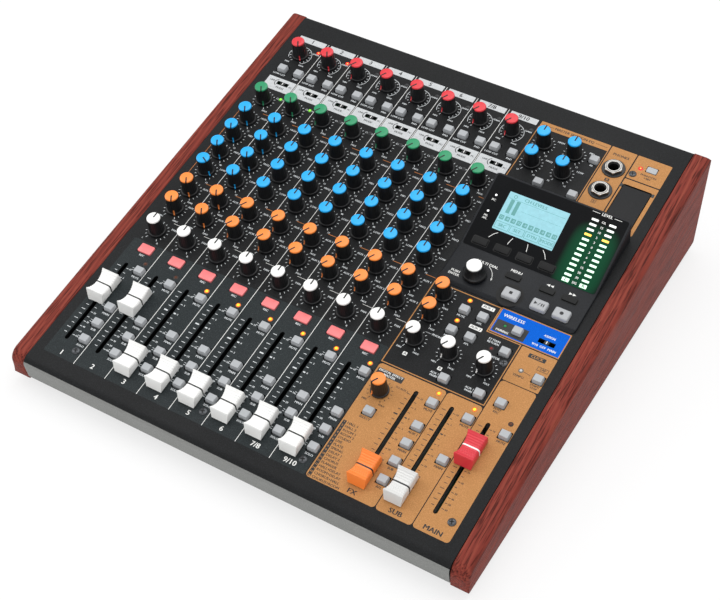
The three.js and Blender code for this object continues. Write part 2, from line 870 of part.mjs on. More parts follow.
function faderFrameHollow(x) {
  const lowZ = boardTopZ + frameFloor;
  return block(frameHollowWidth, frameHollowLength, -lowZ, x, faderMiddleY, lowZ);
}

// The saddle-shaped cap, its stem through the slot and the carriage in the frame.
function fader() {
  const halfBase = capBaseLength / 2;
  const halfRidge = capRidgeSpan / 2;
  const dip = capRidgeHeight - capValleyHeight;
  const saddle = Array.from({ length: saddleSteps + 1 }, (_, i) => {
    const side = 1 - (2 * i) / saddleSteps;
    return [side * (halfRidge - capLipLength), capValleyHeight + dip * side * side];
  });
  const profile = outline([
    [-halfBase, capLift],
    [halfBase, capLift],
    [halfRidge, capRidgeHeight],
    ...saddle,
    [-halfRidge, capRidgeHeight],
  ]);
  const section = outline([
    [-capBaseWidth / 2, capLift],
    [capBaseWidth / 2, capLift],
    [capTopWidth / 2, capRidgeHeight],
    [-capTopWidth / 2, capRidgeHeight],
  ]);
  const cap = barAlongX(profile, capBaseWidth).intersect(barAlongY(section, capBaseLength, -halfBase));
  const carriageZ = boardTopZ + frameFloor + seatGap;
  const carriageWidth = frameHollowWidth - 2 * seatGap;
  const carriage = block(carriageWidth, carriageLength, carriageHeight, 0, 0, carriageZ);
  const stem = block(faderStemWidth, faderStemLength, capLift + seatGap - carriageZ, 0, 0, carriageZ);
  return join([cap, carriage, stem]);
}

// Places of what comes up through the deck

const knobRows = [
  ["gain", gainRowY, redCap, clockwiseEndShare],
  ["compressor", compressorRowY, greenCap, clockwiseEndShare],
  ["eq_high", eqHighRowY, blueCap, clockwiseEndShare],
  ["eq_mid_gain", eqMidGainRowY, blueCap, clockwiseEndShare],
  ["eq_mid_frequency", eqMidFrequencyRowY, blueCap, clockwiseEndShare],
  ["eq_low", eqLowRowY, blueCap, lowToneShare],
  ["aux_first", auxFirstRowY, orangeCap, clockwiseEndShare],
  ["aux_second", auxSecondRowY, orangeCap, clockwiseEndShare],
  ["pan", panRowY, whiteCap, uprightShare],
];
const stripKeys = [
  ["low_cut", lowCutOffset, gainKeyRowY],
  ["pad", padOffset, gainKeyRowY],
  ["mute", keyOffset, muteRowY],
  ["main", keyOffset, mainKeyRowY],
  ["sub", keyOffset, subKeyRowY],
  ["solo", keyOffset, soloRowY],
];
const laterStrips = Array.from({ length: stripCount - 1 }, (_, i) => i + 1);
const isRearKey = ([, , y]) => y > boardSplitY;
const recordKeyPlace = (strip) => [columnX(strip) + recordKeyOffset, recordKeyRowY];
const modeSwitchPlace = (strip) => [columnX(strip) + modeSwitchOffset, modeSwitchRowY];
const keyPlace = (strip, [, offset, y]) => [columnX(strip) + offset, y];

const masterFirstX = columnX(stripCount);
const masterSecondX = columnX(stripCount + 1);
const masterThirdX = columnX(stripCount + 2);
const masterFourthX = columnX(stripCount + 3);
const stripFaderXs = Array.from({ length: stripCount }, (_, strip) => columnX(strip) + faderOffset);
const masterFaderXs = [masterSecondX, masterThirdX, masterFourthX].map((x) => x + masterFaderOffset);
const [effectKeyX, subKeyX, mainKeyX] = masterFaderXs.map((x) => x + masterKeyOffset);

const masterTurning = [
  ["phones_first_knob", masterFirstX, monitorRowY, whiteCap],
  ["phones_second_knob", masterSecondX, monitorRowY, whiteCap],
  ["monitor_knob", masterThirdX, monitorRowY, whiteCap],
  ["effect_knob", masterFirstX, effectKnobY, orangeCap],
];
const masterPanelKnobs = [
  [masterFirstX, masterEqRearY],
  [masterEqSecondX, masterEqRearY],
  [masterFirstX, masterEqFrontY],
  [masterEqSecondX, masterEqFrontY],
  [masterFirstX, masterSendRearY],
  [masterFirstX, masterSendFrontY],
];
const masterTravelling = [
  ["effect_select_key", effectSelectX, effectSelectY],
  ["main_mute_key", mainKeyX, masterMuteRowY],
];
const masterPanelKeys = [
  [eqKeyX, eqKeyRearY],
  [eqKeyX, eqKeyFrontY],
  [eqKeySecondX, eqKeyFrontY],
  [sendKeyX, sendKeyRearY],
  [sendKeyX, sendKeyFrontY],
  [listenKeyX, sendKeyRearY],
  [listenKeyX, sendKeyFrontY],
  [listenKeyX, monitorKeyY],
  [sourceKeyX, sendKeyRearY],
  [sourceKeyX, sendKeyFrontY],
  [sourceKeyX, monitorKeyY],
  [postKeyX, monitorKeyY],
  [clickKeyX, clickKeyY],
  [effectKeyX, masterMuteRowY],
  [effectKeyX, effectKeyRowY],
  [effectKeyX, mainKeyRowY],
  [effectKeyX, subKeyRowY],
  [effectKeyX, soloRowY],
  [subKeyX, masterMuteRowY],
  [subKeyX, mainKeyRowY],
  [phantomKeyX, phantomKeyY, flushKeyWidth, flushKeyDepth, flushKeyHeight],
];
const assignSwitchPlace = [assignSwitchX, assignSwitchY];
const jogPlace = [jogX, jogY];
const transportKeys = [
  ["stop_key", stopKeyX],
  ["play_key", playKeyX],
  ["capture_key", captureKeyX],
];
const barKeyXs = [menuKeyX, rewindKeyX, forwardKeyX];
const softKeyXs = Array.from({ length: softKeyCount }, (_, i) => softKeyFirstX + softKeyPitch * i);

const panelKnobPlaces = laterStrips.flatMap((strip) => knobRows.map(([, y]) => [columnX(strip), y]));
const firstStripKnobPlaces = knobRows.map(([, y]) => [columnX(0), y]);
const masterTurningPlaces = masterTurning.map(([, x, y]) => [x, y]);
const masterTravellingPlaces = masterTravelling.map(([, x, y]) => [x, y]);
const transportPlaces = transportKeys.map(([, x]) => [x, transportKeyY]);

// The display housing's sloping face: u runs up it from the kink, w stands out from it.

const faceSlope = Math.atan2(faceRise, faceRun);
const housingCentreX = masterLeftX + housingWidth / 2;
const facePlacement = new THREE.Matrix4()
  .makeTranslation(0, housingKinkY, housingLowHeight)
  .multiply(new THREE.Matrix4().makeRotationX(faceSlope));

function faceBlock(width, length, thickness, x, u, lowW) {
  return carried(block(width, length, thickness, x, u, lowW), facePlacement);
}

function faceHeight(y) {
  return housingLowHeight + (y - housingKinkY) * Math.tan(faceSlope);
}

const overlayLength = faceLength - 2 * overlayEndInset;
const overlayCentreU = faceLength / 2;
const overlayWidth = housingWidth - 2 * overlayMargin;
const meterLength = meterPitch * (meterSteps - 1) + segmentLength;
const meterCentreU = meterFirstU + (meterPitch * (meterSteps - 1)) / 2;
const meterCentreX = (meterLeftX + meterRightX) / 2;
const meterBaseWidth = meterRightX - meterLeftX + segmentWidth + 2 * meterBaseMargin;
const meterBaseLength = meterLength + 2 * meterBaseMargin;
const meterBaseTopW = -overlayThickness - seatGap;
const meterBaseLowW = meterBaseTopW - meterBaseThickness;
const softKeyY = housingKinkY + softKeyU * Math.cos(faceSlope);

// A cutter for the seat of a piece let into the sloping face, down to the given w.
function faceSeat(width, length, x, u, lowW) {
  return faceBlock(width + 2 * seatGap, length + 2 * seatGap, cutOverrun - lowW, x, u, lowW - seatGap);
}

// A cutter for a key's opening in the housing, upright through the whole of it.
function housingKeyHole(width, depth, x, y) {
  return block(width + 2 * guideGap, depth + 2 * guideGap, housingRearHeight + cutOverrun, x, y);
}

// The room under the sloping roof, open to the deck.
function housingHollow() {
  const roofDrop = (overlayThickness + seatGap + housingWall) / Math.cos(faceSlope);
  const rearY = housingRearY - housingWall;
  const frontY = housingKinkY + (roofDrop - housingLowHeight) / Math.tan(faceSlope);
  const section = outline([[frontY, 0], [rearY, 0], [rearY, faceHeight(rearY) - roofDrop]]);
  return barAlongX(section, housingWidth - 2 * housingWall, housingCentreX);
}

function housing() {
  const profile = outline([
    [housingFrontY, seatGap],
    [housingRearY, seatGap],
    [housingTopY, housingRearHeight],
    [housingKinkY, housingLowHeight],
    [housingFrontY + housingBevelLength, housingLowHeight],
  ]);
  const right = masterLeftX + housingWidth;
  const plan = outline([
    [masterLeftX, housingFrontY, housingWall],
    [right, housingFrontY, housingWall],
    [right, housingRearY, housingCornerRadius],
    [masterLeftX, housingRearY, housingCornerRadius],
  ]);
  const shell = barAlongX(profile, housingWidth, housingCentreX).intersect(plate(plan, rearTopZ));
  const jogHoleRadius = circumradius(boreInradius, roundSides);
  const cutters = [
    housingHollow(),
    faceSeat(overlayWidth, overlayLength, housingCentreX, overlayCentreU, -overlayThickness),
    faceSeat(screenWidth, screenLength, screenCentreX, screenCentreU, -screenThickness),
    faceSeat(meterBaseWidth, meterBaseLength, meterCentreX, meterCentreU, meterBaseLowW),
    post(jogHoleRadius, housingLowHeight + cutOverrun, roundSides, jogX, jogY),
    ...transportPlaces.map(([x, y]) => housingKeyHole(transportKeyWidth, transportKeyDepth, x, y)),
    ...barKeyXs.map((x) => housingKeyHole(barKeyWidth, barKeyDepth, x, barKeyY)),
    ...softKeyXs.map((x) => housingKeyHole(softKeyWidth, softKeyDepth + softKeyRise, x, softKeyY)),
  ];
  return shell.subtract(join(cutters));
}

place(deck, "display_housing", housing(), blackPlastic);

// Glossy overlay with windows for the screen, the meter and the soft keys

function overlay() {
  const sheet = faceBlock(
    overlayWidth,
    overlayLength,
    overlayThickness,
    housingCentreX,
    overlayCentreU,
    -overlayThickness,
  );
  const lowW = -overlayThickness - cutOverrun;
  const windows = [
    faceSeat(screenWidth, screenLength, screenCentreX, screenCentreU, lowW),
    faceSeat(segmentWidth, meterLength, meterLeftX, meterCentreU, lowW),
    faceSeat(segmentWidth, meterLength, meterRightX, meterCentreU, lowW),
    ...softKeyXs.map((x) => faceSeat(softKeyWidth, softKeyDepth, x, softKeyU, lowW)),
  ];
  return sheet.subtract(join(windows));
}

place(deck, "display_overlay", overlay(), glossOverlay);

const screen = faceBlock(
  screenWidth,
  screenLength,
  screenThickness,
  screenCentreX,
  screenCentreU,
  -screenThickness,
);
place(deck, "screen_glass", screen, litGlass);

function meterBlock() {
  const base = block(
    meterBaseWidth,
    meterBaseLength,
    meterBaseThickness,
    meterCentreX,
    meterCentreU,
    meterBaseLowW,
  );
  const steps = Array.from({ length: meterSteps }, (_, i) => meterFirstU + meterPitch * i);
  const segments = [meterLeftX, meterRightX].flatMap((x) => steps.map((u) => block(
    segmentWidth,
    segmentLength,
    -meterBaseLowW,
    x,
    u,
    meterBaseLowW,
  )));
  return carried(join([base, ...segments]), facePlacement);
}

place(deck, "meter_block", meterBlock(), lightPipe);

// Top panel: a bent sheet with every hole and slot

function panelSheet() {
  const innerRearDrop = (sheetThickness * (1 + Math.sin(deckSlope))) / Math.cos(deckSlope);
  return barAlongX(outline([
    [0, -frontFaceHeight],
    [sheetThickness, -frontFaceHeight],
    [sheetThickness, -sheetThickness, panelNoseRadius - sheetThickness],
    [...rearPlace(innerRearDrop, sheetThickness), panelRearRadius - sheetThickness],
    rearPlace(rearFlangeHeight, sheetThickness),
    rearPlace(rearFlangeHeight),
    [deckLength, 0, panelRearRadius],
    [0, 0, panelNoseRadius],
  ], noseSteps), metalWidth);
}

const holeHeight = sheetThickness + 2 * cutOverrun;
const holeLowZ = -sheetThickness - cutOverrun;

function shaftHole([x, y]) {
  return post(circumradius(boreInradius, knobSides), holeHeight, knobSides, x, y, holeLowZ);
}

function keyHole([x, y, width = keyWidth, depth = keyDepth]) {
  return block(width + 2 * guideGap, depth + 2 * guideGap, holeHeight, x, y, holeLowZ);
}

function leverHole([x, y], slotLength) {
  return block(slotLength, slideSlotDepth, holeHeight, x, y, holeLowZ);
}

function faderSlot(x) {
  const halfLength = faderTravel / 2 + slotEndRoom;
  const shape = outline([
    [x - slotWidth / 2, faderMiddleY - halfLength, slotEndRadius],
    [x + slotWidth / 2, faderMiddleY - halfLength, slotEndRadius],
    [x + slotWidth / 2, faderMiddleY + halfLength, slotEndRadius],
    [x - slotWidth / 2, faderMiddleY + halfLength, slotEndRadius],
  ], slotEndSteps);
  return plate(shape, holeHeight, holeLowZ);
}

function jackHole(y) {
  const radius = circumradius(jackBarrelRadius + guideGap, roundSides);
  return post(radius, holeHeight, roundSides, phonesX, y, holeLowZ);
}

const doorAxisY = doorRearY - doorKnuckleRadius;
const doorAxisZ = doorProud - doorKnuckleRadius;

function doorOpening() {
  const length = doorRearY - doorFrontY + 2 * guideGap;
  const centreY = (doorRearY + doorFrontY) / 2;
  const opening = block(doorWidth + 2 * guideGap, length, holeHeight, doorX, centreY, holeLowZ);
  const earWidth = 2 * (doorEarInset + doorEarThickness + guideGap);
  const earLength = 2 * (doorEarHalfLength + guideGap);
  return opening.add(block(earWidth, earLength, holeHeight, doorX, doorAxisY, holeLowZ));
}

// The window under the display housing, through which its keys and dial reach the board.
function displayWindow() {
  const frontY = housingFrontY + windowFrontInset;
  const rearY = housingRearY - windowRearInset;
  const width = housingWidth - 2 * windowSideInset;
  return block(width, rearY - frontY, holeHeight, housingCentreX, (frontY + rearY) / 2, holeLowZ);
}

function topPanel() {
  const firstKeys = stripKeys.map((key) => keyPlace(0, key));
  const recordKey = (strip) => [...recordKeyPlace(strip), recordKeyWidth, recordKeyDepth];
  const holes = [
    ...firstStripKnobPlaces.map(shaftHole),
    ...masterTurningPlaces.map(shaftHole),
    ...firstKeys.map(keyHole),
    keyHole(recordKey(0)),
    leverHole(modeSwitchPlace(0), modeSlotWidth),
    leverHole(assignSwitchPlace, assignSlotWidth),
    ...laterStrips.map((strip) => panelSlot(modeSwitchPlace(strip))),
    ...masterTravellingPlaces.map(keyHole),
    ...stripFaderXs.map(faderSlot),
    ...masterFaderXs.map(faderSlot),
    displayWindow(),
    jackHole(phonesRearY),
    jackHole(phonesFrontY),
    doorOpening(),
  ];
  const controls = [
    ...panelKnobPlaces.map(panelKnob),
    ...masterPanelKnobs.map(panelKnob),
    ...laterStrips.flatMap((strip) => stripKeys.map((key) => panelKey(keyPlace(strip, key)))),
    ...laterStrips.map((strip) => panelKey([...recordKey(strip), recordKeyHeight])),
    ...laterStrips.map((strip) => panelLever(modeSwitchPlace(strip))),
    ...masterPanelKeys.map(panelKey),
  ];
  return panelSheet().subtract(join(holes)).add(join(controls));
}

place(deck, "top_panel", topPanel(), blackPaint);

// Circuit boards with the shafts, keys, bushings, switches and fader frames that they carry

function boardPlate(minX, maxX, minY, maxY) {
  return block(
    maxX - minX,
    maxY - minY,
    boardThickness,
    (minX + maxX) / 2,
    (minY + maxY) / 2,
    boardTopZ - boardThickness,
  );
}

const stripBoardMaxX = boardSplitX - boardSpacing / 2;
const masterBoardMinX = boardSplitX + boardSpacing / 2;
const channelBoardMinY = boardSplitY + boardSpacing / 2;
const faderBoardMaxY = boardSplitY - boardSpacing / 2;

function channelBoard() {
  const firstKeys = stripKeys.filter(isRearKey).map((key) => keyPlace(0, key));
  const solids = [
    boardPlate(boardLeftX, stripBoardMaxX, channelBoardMinY, boardRearY),
    ...firstStripKnobPlaces.map(bushing),
    ...firstKeys.map(switchBody),
    leverTrack(modeSwitchPlace(0), modeSlotWidth),
  ];
  const cutters = [
    ...firstStripKnobPlaces.map(bushingBore),
    ...firstKeys.map(switchWell),
    leverTrackHollow(modeSwitchPlace(0), modeSlotWidth),
  ];
  return join(solids).subtract(join(cutters));
}

function faderBoard() {
  const frontKeys = stripKeys.filter((key) => !isRearKey(key));
  const firstKeys = [...frontKeys.map((key) => keyPlace(0, key)), recordKeyPlace(0)];
  const solids = [
    boardPlate(boardLeftX, stripBoardMaxX, boardFrontY, faderBoardMaxY),
    ...stripFaderXs.map(faderFrame),
    ...firstKeys.map(switchBody),
  ];
  const cutters = [...stripFaderXs.map(faderFrameHollow), ...firstKeys.map(switchWell)];
  return join(solids).subtract(join(cutters));
}

place(deck, "channel_board", channelBoard(), boardGreen);
place(deck, "fader_board", faderBoard(), boardGreen);

// A phones socket: a body under the deck, a threaded barrel, a flange and a hexagon nut.

const phonesTopZ = seatGap + jackFlangeHeight + jackNutHeight;

function phonesSocket(y) {
  const body = block(jackBlockSize, jackBlockSize, undersideZ - boardTopZ, phonesX, y, boardTopZ);
  const barrel = post(jackBarrelRadius, phonesTopZ - boardTopZ, roundSides, phonesX, y, boardTopZ);
  const flange = post(jackFlangeRadius, jackFlangeHeight, roundSides, phonesX, y, seatGap);
  const nut = post(jackNutRadius, jackNutHeight, nutSides, phonesX, y, seatGap + jackFlangeHeight);
  return join([body, barrel, flange, nut]);
}

function phonesBore(y) {
  return turned([
    [0, phonesTopZ - jackBoreDepth],
    [jackBoreRadius, phonesTopZ - jackBoreDepth],
    [jackBoreRadius, phonesTopZ - jackMouthDepth],
    [jackMouthRadius, phonesTopZ],
    [jackMouthRadius, phonesTopZ + cutOverrun],
    [0, phonesTopZ + cutOverrun],
  ], roundSides, phonesX, y);
}

// The card socket on the board and the two ears that the door's pins turn in.

function cardWell() {
  const socket = block(
    cardSlotLength + 2 * cardSocketWall,
    cardSlotWidth + 2 * cardSocketWall,
    cardSocketHeight,
    doorX,
    cardSocketY,
    boardTopZ,
  );
  const ear = (side) => block(
    doorEarThickness,
    2 * doorEarHalfLength,
    doorProud - boardTopZ,
    doorX + side * (doorEarInset + doorEarThickness / 2),
    doorAxisY,
    boardTopZ,
  );
  return join([socket, ear(-1), ear(1)]);
}

function cardWellCutters() {
  const slotFloorZ = boardTopZ + cardSocketHeight - cardSlotDepth;
  const slotHeight = cardSlotDepth + cutOverrun;
  const slot = block(cardSlotLength, cardSlotWidth, slotHeight, doorX, cardSocketY, slotFloorZ);
  const boreLength = 2 * (doorEarInset + doorPinReach + seatGap);
  const boreRadius = circumradius(doorPinRadius + seatGap, smallRoundSides);
  return [slot, pinAlongX(boreRadius, boreLength, smallRoundSides, doorX, doorAxisY, doorAxisZ)];
}

// The door's section: a plate that ends in a round knuckle about the pins.
function cardDoor() {
  const plateLow = doorKnuckleRadius - doorThickness;
  const section = outline([
    [doorFrontY - doorAxisY, plateLow],
    [-doorKnuckleRadius, plateLow],
    [-doorKnuckleRadius, -doorKnuckleRadius],
    [doorKnuckleRadius, -doorKnuckleRadius, doorKnuckleRadius],
    [doorKnuckleRadius, doorKnuckleRadius, doorKnuckleRadius],
    [doorFrontY - doorAxisY, doorKnuckleRadius],
  ]);
  const pinLength = doorWidth + 2 * (guideGap + doorPinReach);
  return barAlongX(section, doorWidth).add(pinAlongX(doorPinRadius, pinLength, smallRoundSides));
}

// Keys on the display housing that are one with the master board

function barKey(x) {
  const stem = block(stemSize, stemSize, housingLowHeight - boardMiddleZ, x, barKeyY, boardMiddleZ);
  const capTopZ = housingLowHeight + barKeyRise;
  return stem.add(block(barKeyWidth, barKeyDepth, capTopZ - seatGap, x, barKeyY, seatGap));
}

function softKey(x) {
  const stemTopZ = faceHeight(softKeyY) - softKeyThickness / 2;
  const stem = block(stemSize, stemSize, stemTopZ - boardMiddleZ, x, softKeyY, boardMiddleZ);
  const lowW = softKeyRise - softKeyThickness;
  return stem.add(faceBlock(softKeyWidth, softKeyDepth, softKeyThickness, x, softKeyU, lowW));
}

function masterBoard() {
  const travellingPlaces = [...masterTravellingPlaces, ...transportPlaces];
  const turningPlaces = [...masterTurningPlaces, jogPlace];
  const solids = [
    boardPlate(masterBoardMinX, boardRightX, boardFrontY, boardRearY),
    ...turningPlaces.map(bushing),
    ...travellingPlaces.map(switchBody),
    ...masterFaderXs.map(faderFrame),
    ...barKeyXs.map(barKey),
    ...softKeyXs.map(softKey),
    leverTrack(assignSwitchPlace, assignSlotWidth),
    phonesSocket(phonesRearY),
    phonesSocket(phonesFrontY),
    cardWell(),
  ];
  const cutters = [
    ...turningPlaces.map(bushingBore),
    ...travellingPlaces.map(switchWell),
    ...masterFaderXs.map(faderFrameHollow),
    leverTrackHollow(assignSwitchPlace, assignSlotWidth),
    phonesBore(phonesRearY),
    phonesBore(phonesFrontY),
    ...cardWellCutters(),
  ];
  return join(solids).subtract(join(cutters));
}

place(deck, "master_board", masterBoard(), boardGreen);

// Moving pieces of the first strip

for (const [name, y, material, turnShare] of knobRows) {
  const knob = place(deck, `${name}_knob_1`, turningKnob(), material, columnX(0), y);
  knob.rotation.z = turnShare * pointerSweep;
}
for (const key of stripKeys) {
  place(deck, `${key[0]}_key_1`, travellingKey(keyWidth, keyDepth, keyHeight), greyKey, ...keyPlace(0, key));
}
const flatKey = travellingKey(recordKeyWidth, recordKeyDepth, recordKeyHeight, undersideZ, seatGap);
place(deck, "record_key_1", flatKey, pinkKey, ...recordKeyPlace(0));
place(deck, "mode_switch_1", lever(), whiteCap, ...modeSwitchPlace(0));

// Faders

const stripFaderRests = [firstFaderRest, secondFaderRest];
stripFaderXs.forEach((x, strip) => {
  const rest = stripFaderRests[strip] ?? 0;
  place(deck, `fader_${strip + 1}`, fader(), whiteCap, x, faderLowY + rest);
});
const masterFaders = [
  ["effect_fader", 0, orangeCap],
  ["sub_fader", 0, whiteCap],
  ["main_fader", mainFaderRest, redCap],
];
masterFaders.forEach(([name, rest, material], i) => {
  place(deck, name, fader(), material, masterFaderXs[i], faderLowY + rest);
});

// Moving pieces of the master section

for (const [name, x, y, material] of masterTurning) {
  const knob = place(deck, name, turningKnob(), material, x, y);
  knob.rotation.z = pointerSweep;
}
for (const [name, x, y] of masterTravelling) {
  place(deck, name, travellingKey(keyWidth, keyDepth, keyHeight), greyKey, x, y);
}
const transportTopZ = housingLowHeight + transportKeyRise;
for (const [name, x] of transportKeys) {
  const key = travellingKey(transportKeyWidth, transportKeyDepth, transportTopZ, transportKeyFloor);
  place(deck, name, key, greyKey, x, transportKeyY);
}
place(deck, "assign_switch", lever(), whiteCap, ...assignSwitchPlace);
place(deck, "card_door", cardDoor(), blackPlastic, doorX, doorAxisY, doorAxisZ);

function jogDial() {
  const dial = turned([
    [0, 0],
    [jogRimRadius, 0],
    [jogRimRadius, jogRimHeight],
    [jogBodyRadius, jogRimHeight],
    [jogShoulderRadius, jogShoulderHeight],
    [jogTopRadius, jogHeight],
    [jogDishRadius, jogHeight],
    [jogDishRadius - jogDishDepth, jogHeight - jogDishDepth],
    [0, jogHeight - jogDishDepth],
  ], dialSides);
  const boreDepth = jogShaftReach + seatGap;
  const boreRadius = circumradius(boreInradius, roundSides);
  return dial.subtract(post(boreRadius, boreDepth + cutOverrun, roundSides, 0, 0, -cutOverrun));
}

const jogFloorZ = housingLowHeight + jogLift;
const jogShaftLowZ = boardTopZ + jogPressRoom;
const jogShaft = post(shaftRadius, jogFloorZ + jogShaftReach - jogShaftLowZ, roundSides);
place(deck, "jog_shaft", jogShaft, bareSteel, jogX, jogY, jogShaftLowZ);
place(deck, "jog_dial", jogDial(), blackPlastic, jogX, jogY, jogFloorZ);

// Rear connectors, all on upright boards behind the rear panel

const rearBoardY = rearPlaneY - sheetThickness - rearBoardInset;
const rearBoardMiddleY = rearBoardY - boardThickness / 2;
const connectorEndY = rearPlaneY + connectorProud;

function rearBoard(minX, maxX) {
  const floorZ = trayFloorZ + seatGap;
  const middleX = (minX + maxX) / 2;
  return block(maxX - minX, boardThickness, rearBoardTopZ - floorZ, middleX, rearBoardMiddleY, floorZ);
}

// A square body on a rear board that ends outside the rear panel.
function rearBody(width, height, x, z) {
  const centreY = (connectorEndY + rearBoardMiddleY) / 2;
  return block(width, connectorEndY - rearBoardMiddleY, height, x, centreY, z - height / 2);
}

function roundShell(x) {
  return postAlongY(xlrRadius, rearBoardMiddleY, connectorEndY, smallRoundSides, x, rearTopRowZ);
}

function contactPlaces(x) {
  return Array.from({ length: contactCount }, (_, i) => {
    const angle = (2 * Math.PI * i) / contactCount - Math.PI / 2;
    return [x + xlrContactCircle * Math.cos(angle), rearTopRowZ + xlrContactCircle * Math.sin(angle)];
  });
}

// What is cut from a microphone input: the ring round its insert, and its three contacts.
function inputCutters(x) {
  const fromY = connectorEndY - xlrGrooveDepth;
  const toY = connectorEndY + cutOverrun;
  const [inner, outer] = [xlrGrooveInnerRadius, xlrGrooveOuterRadius];
  const ring = ringAlongY(inner, outer, fromY, toY, smallRoundSides, x, rearTopRowZ);
  const holes = contactPlaces(x).map(([holeX, holeZ]) => postAlongY(
    xlrContactRadius,
    fromY,
    toY,
    contactSides,
    holeX,
    holeZ,
  ));
  return [ring, ...holes];
}

// What is cut from a balanced output: a cup, in which its three pins stand.
function outputCup(x) {
  const floorY = rearBoardY + xlrFloor;
  const cup = postAlongY(xlrCupRadius, floorY, connectorEndY + cutOverrun, smallRoundSides, x, rearTopRowZ);
  const pins = contactPlaces(x).map(([pinX, pinZ]) => postAlongY(
    xlrContactRadius,
    floorY - seatGap,
    connectorEndY - xlrPinRecess,
    contactSides,
    pinX,
    pinZ,
  ));
  return cup.subtract(join(pins));
}

// A line socket: a square body on the board, a barrel through the panel and a hexagon nut.

const jackEndY = rearPlaneY + seatGap + jackNutHeight;

function lineSocket(x) {
  const bodyRearY = rearPlaneY - sheetThickness - jackBlockGap;
  const bodyDepth = bodyRearY - rearBoardMiddleY;
  const bodyLowZ = rearLowRowZ - jackBlockSize / 2;
  const body = block(jackBlockSize, bodyDepth, jackBlockSize, x, bodyRearY - bodyDepth / 2, bodyLowZ);
  const barrel = postAlongY(jackBarrelRadius, rearBoardY, jackEndY, smallRoundSides, x, rearLowRowZ);
  const nut = postAlongY(jackNutRadius, rearPlaneY + seatGap, jackEndY, nutSides, x, rearLowRowZ);
  return join([body, barrel, nut]);
}

function lineBore(x) {
  return turnedAlongY([
    [0, jackEndY - jackBoreDepth],
    [jackBoreRadius, jackEndY - jackBoreDepth],
    [jackBoreRadius, jackEndY - jackMouthDepth],
    [jackMouthRadius, jackEndY],
    [jackMouthRadius, jackEndY + cutOverrun],
    [0, jackEndY + cutOverrun],
  ], smallRoundSides, x, rearLowRowZ);
}

const inputXs = Array.from({ length: stripCount }, (_, strip) => columnX(strip));
const outputXs = [outputFirstX, outputSecondX];
const outputJackX = (index) => outputJackFirstX + outputJackPitch * index;
const outputJackXs = Array.from({ length: outputJackCount }, (_, index) => outputJackX(index));

function inputBoard() {
  const minX = inputXs[0] - rearBoardMargin;
  const maxX = inputXs[stripCount - 1] + rearBoardMargin;
  const solids = [rearBoard(minX, maxX), ...inputXs.map(roundShell), ...inputXs.map(lineSocket)];
  const cutters = [...inputXs.flatMap(inputCutters), ...inputXs.map(lineBore)];
  return join(solids).subtract(join(cutters));
}

place(level, "input_board", inputBoard(), boardGreen);

// The power rocker: a tilting body with a hollow front and two pins, in a bezel with side walls.

const rockerAxisY = rearPlaneY - rockerInset;
const bezelHollowWidth = rockerWidth + 2 * guideGap;
const bezelHollowHeight = rockerLength + 2 * rockerSwing;
const bezelWidth = bezelHollowWidth + 2 * bezelWall;
const bezelHeight = bezelHollowHeight + 2 * bezelWall;

function bezelCutters() {
  const floorY = rearBoardY + xlrFloor;
  const depth = connectorEndY + cutOverrun - floorY;
  const lowZ = rockerZ - bezelHollowHeight / 2;
  const hollow = block(bezelHollowWidth, depth, bezelHollowHeight, rockerX, floorY + depth / 2, lowZ);
  const boreLength = rockerWidth + 2 * (guideGap + rockerPinReach + seatGap);
  const boreRadius = circumradius(rockerPinRadius + seatGap, smallRoundSides);
  return [hollow, pinAlongX(boreRadius, boreLength, smallRoundSides, rockerX, rockerAxisY, rockerZ)];
}

function rocker() {
  const half = rockerLength / 2;
  const endFront = rockerFront + half * Math.tan(rockerTilt);
  const body = barAlongX(outline([
    [rockerFront, 0],
    [endFront, half],
    [-rockerPinRadius, half],
    [-rockerBack, 0],
    [-rockerPinRadius, -half],
    [endFront, -half],
  ]), rockerWidth);
  const pinLength = rockerWidth + 2 * (guideGap + rockerPinReach);
  return body.add(pinAlongX(rockerPinRadius, pinLength, smallRoundSides));
}

// What is cut from the power inlet and from the square computer socket

function inletCutter() {
  const floorY = connectorEndY - inletDepth;
  const boreEndY = connectorEndY + cutOverrun;
  const bore = postAlongY(inletBoreRadius, floorY, boreEndY, smallRoundSides, inletX, rockerZ);
  const pinEndY = connectorEndY - inletBoreRadius;
  const pin = postAlongY(inletPinRadius, floorY - seatGap, pinEndY, smallRoundSides, inletX, rockerZ);
  return bore.subtract(pin);
}

function computerMouth() {
  const depth = computerMouthDepth + cutOverrun;
  const floorY = connectorEndY - computerMouthDepth;
  const mouth = block(
    computerMouthWidth,
    depth,
    computerMouthHeight,
    computerSocketX,
    floorY + depth / 2,
    rearLowRowZ - computerMouthHeight / 2,
  );
  const tongue = block(
    computerTongueWidth,
    computerMouthDepth,
    computerTongueHeight,
    computerSocketX,
    floorY,
    rearLowRowZ - computerTongueHeight / 2,
  );
  return mouth.subtract(tongue);
}

function outputBoard() {
  const minX = outputFirstX - xlrRadius;
  const maxX = rockerX + bezelWidth / 2;
  const solids = [
    rearBoard(minX, maxX),
    ...outputXs.map(roundShell),
    ...outputJackXs.map(lineSocket),
    rearBody(bezelWidth, bezelHeight, rockerX, rockerZ),
    rearBody(inletSize, inletSize, inletX, rockerZ),
    rearBody(computerSocketWidth, computerSocketHeight, computerSocketX, rearLowRowZ),
  ];
  const cutters = [
    ...outputXs.map(outputCup),
    ...outputJackXs.map(lineBore),
    ...bezelCutters(),
    inletCutter(),
    computerMouth(),
  ];
  return join(solids).subtract(join(cutters));
}

place(level, "output_board", outputBoard(), boardGreen);

const powerRocker = place(level, "power_rocker", rocker(), blackPlastic, rockerX, rockerAxisY, rockerZ);
powerRocker.rotation.x = rockerTilt;

// Rear panel: an upright plate between the tray's rear edges and the top panel's flange

